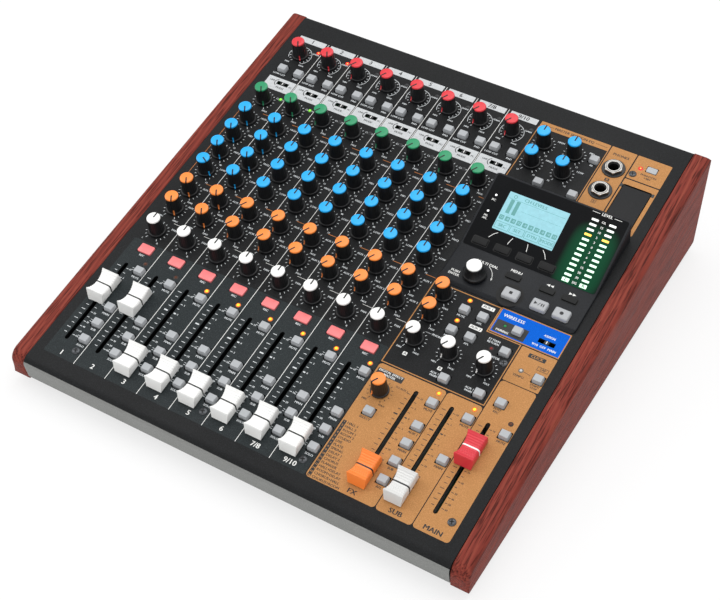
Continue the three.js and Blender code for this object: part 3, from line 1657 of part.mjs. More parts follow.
function rearPanel() {
  const topZ = rearTopZ - rearFlangeHeight - seatGap;
  const centreY = rearPlaneY - sheetThickness / 2;
  const sheet = block(metalWidth, sheetThickness, topZ - footHeight, 0, centreY, footHeight);
  const roundHole = (radius, sides, x, z) => postAlongY(
    circumradius(radius + guideGap, sides),
    rearPlaneY - sheetThickness - cutOverrun,
    rearPlaneY + cutOverrun,
    sides,
    x,
    z,
  );
  const squareHole = (width, height, x, z) => block(
    width + 2 * guideGap,
    sheetThickness + 2 * cutOverrun,
    height + 2 * guideGap,
    x,
    centreY,
    z - height / 2 - guideGap,
  );
  const holes = [
    ...[...inputXs, ...outputXs].map((x) => roundHole(xlrRadius, smallRoundSides, x, rearTopRowZ)),
    ...[...inputXs, ...outputJackXs].map((x) => roundHole(jackBarrelRadius, nutSides, x, rearLowRowZ)),
    squareHole(bezelWidth, bezelHeight, rockerX, rockerZ),
    squareHole(inletSize, inletSize, inletX, rockerZ),
    squareHole(computerSocketWidth, computerSocketHeight, computerSocketX, rearLowRowZ),
  ];
  return sheet.subtract(join(holes));
}

place(level, "rear_panel", rearPanel(), blackPaint);

// The origin lies under the middle of the whole, on the surface that the feet stand on.

mixingConsole.updateMatrixWorld(true);
const bounds = new THREE.Box3().setFromObject(mixingConsole, true);
const middle = bounds.getCenter(new THREE.Vector3());
mixingConsole.position.set(-middle.x, -middle.y, -bounds.min.z);

export default mixingConsole;
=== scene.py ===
import json
import math

import bpy
import numpy as np
from mathutils import Matrix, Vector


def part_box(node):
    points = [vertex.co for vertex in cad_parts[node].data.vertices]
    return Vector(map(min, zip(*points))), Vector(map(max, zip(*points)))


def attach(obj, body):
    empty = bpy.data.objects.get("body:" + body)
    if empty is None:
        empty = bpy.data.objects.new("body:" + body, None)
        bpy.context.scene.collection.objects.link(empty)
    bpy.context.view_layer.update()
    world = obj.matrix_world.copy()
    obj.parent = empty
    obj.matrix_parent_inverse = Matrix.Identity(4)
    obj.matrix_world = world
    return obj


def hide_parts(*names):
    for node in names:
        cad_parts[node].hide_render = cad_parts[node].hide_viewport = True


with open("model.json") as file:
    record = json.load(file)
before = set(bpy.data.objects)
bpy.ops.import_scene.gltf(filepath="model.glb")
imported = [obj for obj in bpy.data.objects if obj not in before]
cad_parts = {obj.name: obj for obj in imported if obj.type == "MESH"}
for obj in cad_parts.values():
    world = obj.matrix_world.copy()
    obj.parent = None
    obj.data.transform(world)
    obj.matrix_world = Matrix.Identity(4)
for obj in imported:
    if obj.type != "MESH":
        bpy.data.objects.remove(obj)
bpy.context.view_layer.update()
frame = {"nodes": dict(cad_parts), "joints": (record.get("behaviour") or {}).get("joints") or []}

# The camera stands at the photograph's angle, above the right front corner, on a long lens.
CAMERA_PLACE = (0.3667, -0.6300, 0.7536)
CAMERA_RIGHT = np.array([0.859583, 0.510995, 0.000618])
CAMERA_DOWN = np.array([0.365285, -0.613627, -0.700021])
LENS_MM = 74.54
camera_data = bpy.data.cameras.new("camera")
camera_data.lens = LENS_MM
camera = bpy.data.objects.new("camera", camera_data)
camera_back = np.cross(CAMERA_RIGHT, -CAMERA_DOWN)
camera_axes = np.column_stack([CAMERA_RIGHT, -CAMERA_DOWN, camera_back])
camera.matrix_world = Matrix.Translation(CAMERA_PLACE) @ Matrix(camera_axes).to_4x4()
bpy.context.scene.collection.objects.link(camera)
bpy.context.scene.camera = camera
bpy.context.scene.view_settings.view_transform = "Standard"


# The studio: a pale floor on which the feet stand, a white world behind it, and soft lamps from
# above, from the left and from the front, at a level at which a colour shows about as written.
# The floor keeps the shadow near the object and fades to plain white within about a metre.
WORLD_LEVEL = 0.62
FLOOR_REACH = 6.0
FADE_START = 0.3
FADE_END = 1.1
WHITE_NEAR = 0.72


def linear(hex_code):
    """sRGB hex to linear: ((c + 0.055) / 1.055) to the power 2.4 above 0.04045, else c / 12.92."""
    c = np.array([int(hex_code[i:i + 2], 16) / 255 for i in (1, 3, 5)])
    return (*np.where(c > 0.04045, ((c + 0.055) / 1.055) ** 2.4, c / 12.92), 1.0)


def add(tree, kind, settings=(), values=(), links=()):
    """Adds one node to a tree with its settings, its input values and its incoming links."""
    made = tree.nodes.new(kind)
    for name, value in dict(settings).items():
        setattr(made, name, value)
    for name, value in dict(values).items():
        made.inputs[name].default_value = value
    for name, socket in dict(links).items():
        tree.links.new(socket, made.inputs[name])
    return made


def emptied(block):
    """The node tree of a material or a world, with nothing in it yet."""
    block.use_nodes = True
    block.node_tree.nodes.clear()
    return block.node_tree


floor_mesh = bpy.data.meshes.new("floor")
floor_corners = [(x, y, 0) for x, y in ((-1, -1), (1, -1), (1, 1), (-1, 1))]
floor_mesh.from_pydata((np.array(floor_corners) * FLOOR_REACH).tolist(), [], [(0, 1, 2, 3)])
floor = bpy.data.objects.new("floor", floor_mesh)
bpy.context.scene.collection.objects.link(floor)
pale_floor = bpy.data.materials.new("pale_floor")
tree = emptied(pale_floor)
paint = add(tree, "ShaderNodeBsdfDiffuse", values={"Color": linear("#F4F4F4")})
white = add(tree, "ShaderNodeEmission", values={"Color": linear("#FFFFFF"), "Strength": 1.0})
rays = add(tree, "ShaderNodeLightPath")
seen = add(tree, "ShaderNodeMath", {"operation": "MAXIMUM"},
           links={0: rays.outputs["Is Camera Ray"], 1: rays.outputs["Is Glossy Ray"]})
spot = add(tree, "ShaderNodeTexCoord")
away = add(tree, "ShaderNodeVectorMath", {"operation": "LENGTH"}, links={0: spot.outputs["Object"]})
fade = add(tree, "ShaderNodeMapRange", {"interpolation_type": "SMOOTHSTEP"},
           values={1: FADE_START, 2: FADE_END, 3: WHITE_NEAR, 4: 1.0},
           links={0: away.outputs["Value"]})
share = add(tree, "ShaderNodeMath", {"operation": "MULTIPLY"},
            links={0: seen.outputs[0], 1: fade.outputs[0]})
mixed = add(tree, "ShaderNodeMixShader",
            links={0: share.outputs[0], 1: paint.outputs[0], 2: white.outputs[0]})
add(tree, "ShaderNodeOutputMaterial", links={"Surface": mixed.outputs[0]})
floor_mesh.materials.append(pale_floor)

world = bpy.data.worlds.new("studio")
bpy.context.scene.world = world
tree = emptied(world)
rays = add(tree, "ShaderNodeLightPath")
seen = add(tree, "ShaderNodeMath", {"operation": "MAXIMUM"},
           links={0: rays.outputs["Is Camera Ray"], 1: rays.outputs["Is Transmission Ray"]})
level = add(tree, "ShaderNodeMapRange", values={3: WORLD_LEVEL, 4: 1.0},
            links={0: seen.outputs[0]})
sky = add(tree, "ShaderNodeBackground", values={"Color": linear("#FFFFFF")},
          links={"Strength": level.outputs[0]})
add(tree, "ShaderNodeOutputWorld", links={"Surface": sky.outputs[0]})

LAMPS = [
    ("lamp_above", (0.1, 0.5, 1.5), 1.6, 15.0),
    ("lamp_left", (-1.4, -0.3, 1.1), 1.2, 10.0),
    ("lamp_front", (0.4, -1.6, 0.9), 1.4, 6.0),
]
for name, place, size, power in LAMPS:
    lamp_data = bpy.data.lights.new(name, "AREA")
    lamp_data.size = size
    lamp_data.energy = power
    lamp = bpy.data.objects.new(name, lamp_data)
    lamp.location = place
    lamp.rotation_mode = "QUATERNION"
    lamp.rotation_quaternion = (-lamp.location).to_track_quat("-Z", "Y")
    bpy.context.scene.collection.objects.link(lamp)


# Two cheeks of solid red-brown wood close the sides. Each is sawn to the wedge's outline, its nose
# and outer edges are rounded over, and the face is stained and lacquered satin.
INNER_HALF = 159.3
OUTER_HALF = 171.5
DECK_LENGTH = 360.0
CHEEK_FRONT = 21.6
CHEEK_REAR = 80.72
CHEEK_EDGE = 3.6
CHEEK_NOSE = 9.0
CHEEK_FOOT = 1.5
CHEEK_HEEL = 3.0


# The cheeks follow the control surface, which slopes up to the rear. It and all that stands on it
# are worked out in deck millimetres: x to the right, y up the slope from the front face, z out of
# the paint. The jog dial's pivot, which the frame gives, ties the deck to the row.
JOG_PLACE = np.array([73.5, 194.6, 3.1])
JOG_JOINT = next(joint for joint in frame["joints"] if joint["name"] == "jog_turn")
DECK_OUT = np.array(JOG_JOINT["axis"]) / np.linalg.norm(JOG_JOINT["axis"])
DECK_AXES = np.array([[1.0, 0.0, 0.0], [0.0, DECK_OUT[2], -DECK_OUT[1]], DECK_OUT])
DECK_ORIGIN = np.array(JOG_JOINT["pos_m"]) - JOG_PLACE / 1000 @ DECK_AXES
SLOPE = math.atan2(-DECK_OUT[1], DECK_OUT[2])


def on_deck(points):
    """Deck millimetres to row metres: the origin plus each coordinate along its deck axis."""
    return DECK_ORIGIN + np.asarray(points, float) / 1000 @ DECK_AXES


def skin(rows, columns, close_rows=False, close_columns=False):
    """Quads of a grid of rows x columns points: (i, j), (i, j+1), (i+1, j+1), (i+1, j)."""
    i = np.arange(rows if close_rows else rows - 1)
    j = np.arange(columns if close_columns else columns - 1)
    i, j = np.meshgrid(i, j, indexing="ij")
    after_i, after_j = (i + 1) % rows, (j + 1) % columns
    here, after = i * columns, after_i * columns
    return np.stack([here + j, here + after_j, after + after_j, after + j], -1).reshape(-1, 4).tolist()


def loft(rings, finish=0):
    """A closed body through closed rings of points, bottom first, each ring anticlockwise seen
    from above: quads between neighbouring rings, and a flat face on the first and last."""
    rings = np.asarray(rings, float)
    count, around = rings.shape[:2]
    ends = [list(range(around))[::-1], [(count - 1) * around + k for k in range(around)]]
    faces = skin(count, around, close_columns=True) + ends
    return rings.reshape(-1, 3), faces, [finish] * len(faces)


def build(name, parts, materials, body, replaces=(), sharp=38, to_row=on_deck):
    """One object from (points, faces, finish numbers) parts, joined in order, with smooth shading
    that breaks at edges sharper than the given angle. It rides on the named body."""
    starts = np.cumsum([0] + [len(points) for points, _, _ in parts])
    points = to_row(np.concatenate([points for points, _, _ in parts]))
    faces = [[k + start for k in face] for start, (_, own, _) in zip(starts, parts) for face in own]
    mesh = bpy.data.meshes.new(name)
    mesh.from_pydata(points.tolist(), [], faces)
    mesh.polygons.foreach_set("material_index", [f for _, _, own in parts for f in own])
    mesh.shade_smooth()
    mesh.set_sharp_from_angle(angle=math.radians(sharp))
    for material in materials:
        mesh.materials.append(material)
    made = bpy.data.objects.new(name, mesh)
    bpy.context.scene.collection.objects.link(made)
    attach(made, body)
    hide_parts(*replaces)
    return made


def cornered(corners, steps=10):
    """An outline from (a, b, radius) corners: each corner's arc runs between its two tangent
    points, a radius divided by tan(half the corner's angle) away from the corner."""
    points = np.array([corner[:2] for corner in corners], float)
    path = []
    for i, (_, _, radius) in enumerate(corners):
        before = points[i - 1] - points[i]
        after = points[(i + 1) % len(points)] - points[i]
        before, after = before / np.linalg.norm(before), after / np.linalg.norm(after)
        half = math.acos(np.clip(before @ after, -1, 1)) / 2
        if not radius or half > math.pi / 2 - 0.01:
            path.append(points[i:i + 1])
            continue
        inward = (before + after) / np.linalg.norm(before + after)
        centre = points[i] + inward * radius / math.sin(half)
        first = points[i] + before * radius / math.tan(half) - centre
        last = points[i] + after * radius / math.tan(half) - centre
        share = np.linspace(0, 1, steps + 1)[:, None]
        sweep = math.pi - 2 * half
        arc = np.sin((1 - share) * sweep) * first + np.sin(share * sweep) * last
        path.append(centre + arc / math.sin(sweep))
    return np.concatenate(path)


def cheek(side):
    """The side outline repeated along x. Towards the outer face it draws in from the top and the
    nose by edge (1 - cos a) while x goes on by edge sin a, which rolls the edge over."""
    rear = (DECK_LENGTH - CHEEK_REAR * math.sin(SLOPE), -CHEEK_REAR * math.cos(SLOPE))
    corners = [(0, 0, CHEEK_NOSE), (0, -CHEEK_FRONT, CHEEK_FOOT), (*rear, CHEEK_FOOT)]
    path = cornered([*corners, (DECK_LENGTH, 0, CHEEK_HEEL)], 14)
    along = np.roll(path, -1, 0) - np.roll(path, 1, 0)
    along /= np.linalg.norm(along, axis=1)[:, None]
    normal = np.stack([-along[:, 1], along[:, 0]], -1)
    out = normal if normal[0, 1] > 0 or normal[0, 0] < 0 else -normal
    fade = np.clip((path[:, 1] + CHEEK_FRONT - 2) / 8, 0, 1)
    draw = np.stack([-np.minimum(out[:, 0], 0) * fade, -np.maximum(out[:, 1], 0)], -1)
    turn = np.linspace(0, math.pi / 2, 8)
    steps = [(INNER_HALF, 0.5), (INNER_HALF + 0.5, 0.0)]
    steps += [(OUTER_HALF - CHEEK_EDGE * (1 - math.sin(a)), CHEEK_EDGE * (1 - math.cos(a))) for a in turn]
    rings = [np.column_stack([np.full(len(path), side * x), path + draw * inset]) for x, inset in steps]
    return loft(rings if side < 0 else rings[::-1])


def wood():
    """Stained wood under satin lacquer: growth rings as bands 1.7 mm apart and a drift 4 mm across,
    bent by noise, and pores 0.9 mm across, drawn coarse so that they show. All are drawn out 22
    times along the cheek. The stain gives a dull red brown, and the pores sink in as dark lines."""
    material = bpy.data.materials.new("stained_lacquered_wood")
    tree = emptied(material)
    spot = add(tree, "ShaderNodeTexCoord")
    lie = add(tree, "ShaderNodeMapping", {"vector_type": "TEXTURE"},
              {"Rotation": (SLOPE, 0, 0), "Scale": (1, 22, 1)}, {"Vector": spot.outputs["Object"]})
    drift = add(tree, "ShaderNodeTexNoise", values={"Scale": 240.0, "Detail": 5.0, "Distortion": 0.2},
                links={"Vector": lie.outputs[0]})
    pores = add(tree, "ShaderNodeTexNoise", values={"Scale": 1100.0, "Detail": 2.0},
                links={"Vector": lie.outputs[0]})
    bands = add(tree, "ShaderNodeTexWave", {"wave_type": "BANDS", "bands_direction": "DIAGONAL"},
                {"Scale": 190.0, "Distortion": 2.2, "Detail": 3.0, "Detail Scale": 1.6},
                {"Vector": lie.outputs[0]})
    mix = add(tree, "ShaderNodeMath", {"operation": "MULTIPLY_ADD"}, {1: 0.4},
              {0: bands.outputs[1], 2: drift.outputs[0]})
    grain = add(tree, "ShaderNodeMapRange", values={1: 0.3, 2: 1.15}, links={0: mix.outputs[0]})
    stain = add(tree, "ShaderNodeValToRGB", links={0: grain.outputs[0]})
    ramp = stain.color_ramp
    ramp.elements[0].color = linear("#652C24")
    ramp.elements[1].color = linear("#8F4738")
    middle = ramp.elements.new(0.5)
    middle.color = linear("#80362D")
    dark = add(tree, "ShaderNodeMapRange", values={1: 0.52, 2: 0.62, 3: 0.0, 4: 0.75},
               links={0: pores.outputs[0]})
    colour = add(tree, "ShaderNodeMix", {"data_type": "RGBA"}, {7: linear("#3E1712")},
                 {0: dark.outputs[0], 6: stain.outputs[0]})
    relief = add(tree, "ShaderNodeBump", {"invert": True}, {"Strength": 0.35, "Distance": 0.0003},
                 {"Height": dark.outputs[0]})
    rough = add(tree, "ShaderNodeMapRange", values={1: 0.3, 2: 0.7, 3: 0.5, 4: 0.62},
                links={0: drift.outputs[0]})
    shader = add(tree, "ShaderNodeBsdfPrincipled", values={"Specular IOR Level": 0.1},
                 links={"Base Color": colour.outputs[2], "Roughness": rough.outputs[0],
                        "Normal": relief.outputs[0]})
    add(tree, "ShaderNodeOutputMaterial", links={"Surface": shader.outputs[0]})
    return material


# The stain lets the grain through as darker streaks, and the lacquer adds a soft wide sheen.
red_wood = wood()
for side, side_name in ((-1, "left"), (1, "right")):
    build(f"{side_name}_wood_cheek", [cheek(side)], [red_wood], "console",
          [f"{side_name}_cheek"])

# The top panel is one folded steel sheet with a rolled nose, powder-coated black with a fine
# speckle. Every control comes up through a hole punched in it, so this section holds their places.
# Its front face and the lower part of its nose are coloured a plain mid grey.
METAL_HALF = 159.0
SHEET = 1.5
NOSE = 6.0
REAR_BEND = 4.0
FRONT_FACE = 18.3
REAR_FLANGE = 10.0
PITCH = 25.4
COLUMNS = -140.8 + PITCH * np.arange(11)
STRIPS = range(8)
STRIP_COLUMNS = COLUMNS[:8]
KNOB_ROWS = {
    "gain": 320.1, "compressor": 268.8, "eq_high": 246.9, "eq_mid_gain": 228.6,
    "eq_mid_frequency": 210.5, "eq_low": 192.1, "aux_first": 171.3, "aux_second": 152.8, "pan": 130.7,
}
STRIP_KEYS = {
    "low_cut": (-4.3, 302.2), "pad": (9.7, 302.2), "mute": (9.5, 95.9), "main": (9.5, 61.8),
    "sub": (9.5, 47.6), "solo": (9.5, 33.1),
}
RECORD_KEY = (2.5, 113.9)
MODE_SWITCH = (3.8, 288.8)
ASSIGN_SWITCH = (139.2, 168.2)
MODE_SLOT = (9.6, 3.4, 0.3)
ASSIGN_SLOT = (11.6, 3.4, 0.3)
FADER_LOW = 33.1
FADER_MIDDLE = FADER_LOW + 30
STRIP_FADERS = STRIP_COLUMNS - 2.6
MASTER_FADERS = COLUMNS[[9, 10, 10]] - 4.3 + np.array([0, 0, PITCH])
MASTER_KNOBS = {
    "master_high": (62.4, 319.6), "master_mid": (86.0, 319.6), "master_low": (62.4, 300.3),
    "master_tone": (86.0, 300.3), "first_send": (62.4, 171.8), "second_send": (62.4, 153.5),
    "phones_first": (62.4, 132.3), "phones_second": (87.8, 132.3), "monitor": (113.2, 132.3),
    "effect": (62.4, 87.8),
}
FADER_KEYS = MASTER_FADERS + 12.6
MASTER_KEYS = [
    (100.5, 321.5), (100.5, 286.0), (74.6, 286.0), (80.4, 167.4), (80.4, 149.5), (93.8, 167.4),
    (93.8, 149.5), (93.8, 114.3), (118.9, 167.4), (118.9, 149.5), (118.9, 114.3), (134.2, 114.3),
    (147.0, 140.4), (FADER_KEYS[0], 94.8), (FADER_KEYS[0], 75.7), (FADER_KEYS[0], 61.8),
    (FADER_KEYS[0], 47.6), (FADER_KEYS[0], 33.1), (FADER_KEYS[1], 94.8), (FADER_KEYS[1], 61.8),
]
PHANTOM_KEY = (139.9, 330.2)
SELECT_KEY = (63.8, 71.4)
MAIN_MUTE = (FADER_KEYS[2], 94.8)
KEY_SIZE = (7.4, 6.6)
RECORD_SIZE = (10.6, 7.2)
FLUSH_SIZE = (7.5, 5.0)
DOOR_X = 138.0
DOOR_FRONT = 274.0
DOOR_REAR = 311.0
DOOR_WIDTH = 20.6
DOOR_GAP = 0.4
PHONES = ((115.6, 320.4), (115.6, 298.6))
PHONES_HOLE = 5.8
HOOD_OPENING = (102, 203.7, 88, 34, 1.0)


def powder_coat(name, colour, fleck, roughness, relief_share=0.35, gloss=0.25):
    """Powder coat and screened ink: a base with fine paler flecks, 0.55 mm across so that they
    show, over an orange peel 0.9 mm across, and gloss that wanders over 70 mm."""
    material = bpy.data.materials.new(name)
    tree = emptied(material)
    spot = add(tree, "ShaderNodeTexCoord")
    flecks = add(tree, "ShaderNodeTexNoise", values={"Scale": 1000 / 0.55, "Detail": 1.5},
                 links={"Vector": spot.outputs["Object"]})
    peel = add(tree, "ShaderNodeTexNoise", values={"Scale": 1000 / 0.9, "Detail": 2.0},
               links={"Vector": spot.outputs["Object"]})
    wide = add(tree, "ShaderNodeTexNoise", values={"Scale": 1000 / 70, "Detail": 2.0},
               links={"Vector": spot.outputs["Object"]})
    shine = add(tree, "ShaderNodeMapRange", values={1: 0.45, 2: 0.75}, links={0: flecks.outputs[0]})
    colour_mix = add(tree, "ShaderNodeMix", {"data_type": "RGBA"},
                     {6: linear(colour), 7: linear(fleck)}, {0: shine.outputs[0]})
    rough = add(tree, "ShaderNodeMapRange", values={1: 0.3, 2: 0.7, 3: roughness - 0.06, 4: roughness + 0.06},
                links={0: wide.outputs[0]})
    relief = add(tree, "ShaderNodeBump", values={"Strength": relief_share, "Distance": 0.00012},
                 links={"Height": peel.outputs[0]})
    shader = add(tree, "ShaderNodeBsdfPrincipled", values={"Specular IOR Level": gloss}, links={
        "Base Color": colour_mix.outputs[2], "Roughness": rough.outputs[0], "Normal": relief.outputs[0]})
    add(tree, "ShaderNodeOutputMaterial", links={"Surface": shader.outputs[0]})
    return material


# Powder coat is dull and speckled, a soft black that never shows a sharp reflection.
black_coat = powder_coat("black_powder_coat", "#08090A", "#1E2023", 0.6)


def bent(path, thickness):
    """The section of a bent strip: an outer (y, z) path, and back along an inner path that lies
    one thickness inside it along the path's normals."""
    along = np.gradient(path, axis=0)
    along /= np.linalg.norm(along, axis=1)[:, None]
    inner = path + np.stack([along[:, 1], -along[:, 0]], -1) * thickness
    return np.concatenate([path, inner[::-1]])


def along_x(ring, left, right):
    """A closed (y, z) outline carried along x between two planes."""
    rings = [np.column_stack([np.full(len(ring), x), ring]) for x in (left, right)]
    return loft(rings)


def arc(centre, radius, start, end, steps):
    """Points on a circle: centre + radius (cos a, sin a), a in degrees from start to end."""
    a = np.radians(np.linspace(start, end, steps + 1))
    return np.asarray(centre) + radius * np.stack([np.cos(a), np.sin(a)], -1)


nose_path = np.concatenate([[(0, -FRONT_FACE)], arc((NOSE, -NOSE), NOSE, 180, 90, 16)])
rear_lean = math.degrees(SLOPE)
rear_centre = (DECK_LENGTH - REAR_BEND * 1.19, -REAR_BEND)
rear_path = np.concatenate([
    arc(rear_centre, REAR_BEND, 90, -rear_lean, 12),
    [(DECK_LENGTH - REAR_FLANGE * math.sin(SLOPE), -REAR_FLANGE * math.cos(SLOPE))],
])


def mesh_of(curve):
    """The points and faces of a flat curve, from the mesh that it fills."""
    holder = bpy.data.objects.new("blank", curve)
    bpy.context.scene.collection.objects.link(holder)
    mesh = bpy.data.meshes.new_from_object(holder.evaluated_get(bpy.context.evaluated_depsgraph_get()))
    points = np.zeros(len(mesh.vertices) * 3)
    mesh.vertices.foreach_get("co", points)
    faces = [list(face.vertices) for face in mesh.polygons]
    bpy.data.objects.remove(holder)
    bpy.data.meshes.remove(mesh)
    return points.reshape(-1, 3), faces


def punched(outer, holes, top, thickness):
    """A flat sheet with holes: a filled plane curve of the outline and every hole, given the
    sheet's thickness, made a mesh."""
    curve = bpy.data.curves.new("blank", "CURVE")
    curve.dimensions = "2D"
    curve.fill_mode = "BOTH"
    curve.extrude = thickness / 2
    for path in [outer, *holes]:
        spline = curve.splines.new("POLY")
        spline.points.add(len(path) - 1)
        flat = np.column_stack([path, np.zeros(len(path)), np.ones(len(path))])
        spline.points.foreach_set("co", flat.ravel())
        spline.use_cyclic_u = True
    points, faces = mesh_of(curve)
    return points + (0, 0, top - thickness / 2), faces, [0] * len(faces)


def circle(x, y, radius, around=20):
    """A circle about (x, y)."""
    return arc((x, y), radius, 0, 360 * (around - 1) / around, around - 1)


def rounded(width, depth, corner, around=24):
    """The plan of a rectangle with round corners: each corner's arc is its centre plus a radius
    in the direction of its angle, all joined anticlockwise."""
    steps = around // 4
    angle = (np.arange(4)[:, None] * 90 + np.linspace(0, 90, steps)).ravel() * math.pi / 180
    signs = np.array([[1, 1], [-1, 1], [-1, -1], [1, -1]]).repeat(steps, 0)
    centre = signs * (np.array([width, depth]) / 2 - corner)
    return centre + corner * np.stack([np.cos(angle), np.sin(angle)], -1)


def oblong(x, y, width, depth, corner=0.4, around=12):
    """A round-cornered rectangle about (x, y)."""
    return rounded(width, depth, corner, around) + (x, y)


KEY_GAP = 0.4
SHAFT_HOLE = 3.6
FADER_SLOT = (3.0, 70.8, 1.45)
key_places = [(COLUMNS[i] + dx, y, *KEY_SIZE) for i in STRIPS for dx, y in STRIP_KEYS.values()]
key_places += [(COLUMNS[i] + RECORD_KEY[0], RECORD_KEY[1], *RECORD_SIZE) for i in STRIPS]
key_places += [(x, y, *KEY_SIZE) for x, y in [*MASTER_KEYS, SELECT_KEY, MAIN_MUTE]]
key_places += [(*PHANTOM_KEY, *FLUSH_SIZE)]
knob_places = [(COLUMNS[i], y) for i in STRIPS for y in KNOB_ROWS.values()] + list(MASTER_KNOBS.values())
fader_places = [*STRIP_FADERS, *MASTER_FADERS]
holes = [oblong(x, y, w + 2 * KEY_GAP, d + 2 * KEY_GAP) for x, y, w, d in key_places]
holes += [circle(x, y, SHAFT_HOLE) for x, y in knob_places]
holes += [oblong(x, FADER_MIDDLE, *FADER_SLOT) for x in fader_places]
holes += [oblong(COLUMNS[i] + MODE_SWITCH[0], MODE_SWITCH[1], *MODE_SLOT) for i in STRIPS]
holes += [oblong(*ASSIGN_SWITCH, *ASSIGN_SLOT)]
holes += [circle(x, y, PHONES_HOLE) for x, y in PHONES]
holes += [oblong(DOOR_X, (DOOR_FRONT + DOOR_REAR) / 2, DOOR_WIDTH + 2 * DOOR_GAP,
                 DOOR_REAR - DOOR_FRONT + 2 * DOOR_GAP, 1.2)]
holes += [oblong(*HOOD_OPENING)]
deck_edge = np.array([
    (-METAL_HALF, NOSE), (METAL_HALF, NOSE), (METAL_HALF, rear_centre[0]), (-METAL_HALF, rear_centre[0]),
])
build("top_panel_sheet", [
    punched(deck_edge, holes, 0, SHEET),
    along_x(bent(nose_path, SHEET), -METAL_HALF, METAL_HALF),
    along_x(bent(rear_path, SHEET), -METAL_HALF, METAL_HALF),
], [black_coat], "console", ["top_panel"])
# A thin film colours the front face and the lower part of the nose mid grey.
GREY_LIFT = 0.03
GREY_TURN = 146
fascia_grey = powder_coat("grey_front_colour", "#7C7D7B", "#90918E", 0.5, 0.15)
grey_path = np.concatenate([
    [(-GREY_LIFT, 0.05 - FRONT_FACE)],
    arc((NOSE, -NOSE), NOSE + GREY_LIFT, 180, GREY_TURN, 8),
])
fascia = along_x(bent(grey_path, 0.05), -METAL_HALF, METAL_HALF)
build("front_face_grey_film", [fascia], [fascia_grey], "console")

# Rotary controls: a black ABS body with a ledged skirt and a ribbed waist, pressed onto its shaft,
# a coloured cap disc let into the top, with a dark groove that points from the centre to the rim,
# and a short coloured mark up the skirt below it. Heights come first, then radii.
KNOB_RINGS = [
    (0.6, 6.0, 0), (0.75, 6.2, 0), (1.65, 6.2, 0), (1.85, 6.12, 0), (1.95, 5.95, 0),
    (2.0, 5.66, 0.1), (2.5, 5.6, 0.3), (9.0, 5.16, 0.3), (13.3, 4.86, 0.3), (13.7, 4.86, 0),
    (13.9, 4.8, 0),
]
CAP_RINGS = [(13.9, 4.8), (14.5, 4.76), (14.85, 4.6), (15.0, 4.3), (15.0, 2.0), (15.02, 0.6)]
MARK_RINGS = ((0.7, 6.26), (1.75, 6.26), (2.1, 5.82), (4.7, 5.62))
MARK_HALF = 0.45
KNOB_FLUTES = 22
KNOB_AROUND = 66
SWEEP = 150


def turned(radius, height, around):
    """Rings about z: x = r cos a, y = r sin a, for one radius or a row of radii at each height."""
    turn = np.linspace(0, 2 * math.pi, around, endpoint=False)
    r = np.asarray(radius, float).reshape(len(height), -1)
    z = np.repeat(np.asarray(height, float)[:, None], around, 1)
    return np.stack([r * np.cos(turn), r * np.sin(turn), z], -1)


def lathe(profile, around, place=(0, 0, 0), finish=0):
    """A turned body from (radius, z) pairs, flat at both ends, at the given place."""
    radius, height = np.array(profile, float).T
    return loft(turned(radius, height, around) + np.asarray(place, float), finish)


def stacked(width, depth, steps, place=(0, 0, 0), corner=1.0, around=24, finish=0):
    """A moulded block: round-cornered plans, each given as (height, inset), one above another."""
    rings = []
    for height, inset in steps:
        plan = rounded(width - 2 * inset, depth - 2 * inset, max(corner - inset, 0.2), around)
        rings.append(np.column_stack([plan, np.full(len(plan), height)]))
    return loft(np.array(rings) + np.asarray(place, float), finish)


def fluted(rings, flutes, around):
    """A turned body with n flutes from (height, radius, depth) rows: at the angle a each ring's
    radius is r - depth (1 + cos(n a)) / 2."""
    turn = np.linspace(0, 2 * math.pi, around, endpoint=False)
    height, radius, depth = np.array(rings, float).T
    groove = depth[:, None] * (1 + np.cos(flutes * turn)) / 2
    return loft(turned(radius[:, None] - groove, height, around))


def knob(x, y, clockwise):
    """A fluted body on its shaft, plain rings for the cap, a dark groove from the cap's middle over
    its rim, and a short coloured mark up the skirt, all turned clockwise by the given degrees."""
    body = fluted(KNOB_RINGS, KNOB_FLUTES, KNOB_AROUND)
    shaft = lathe([(3.0, -13.2), (3.0, 0.7)], 20)
    cap = lathe([(radius, height) for height, radius in CAP_RINGS], 36, finish=1)
    groove = stacked(1.0, 4.3, [(14.8, 0), (15.06, 0)], (0, 2.3, 0), 0.3, 12, 2)
    notch = stacked(1.0, 0.7, [(13.9, 0), (15.02, 0)], (0, 4.56, 0), 0.1, 12, 2)
    stripe = loft([
        [(-MARK_HALF, r - 0.7, z), (MARK_HALF, r - 0.7, z), (MARK_HALF, r, z), (-MARK_HALF, r, z)]
        for z, r in MARK_RINGS
    ], 1)
    turn = math.radians(-clockwise)
    cosine, sine = math.cos(turn), math.sin(turn)
    spin = np.array([[cosine, sine, 0], [-sine, cosine, 0], [0, 0, 1]])
    pieces = (body, shaft, cap, groove, notch, stripe)
    return [(points @ spin + (x, y, 0), faces, own) for points, faces, own in pieces]


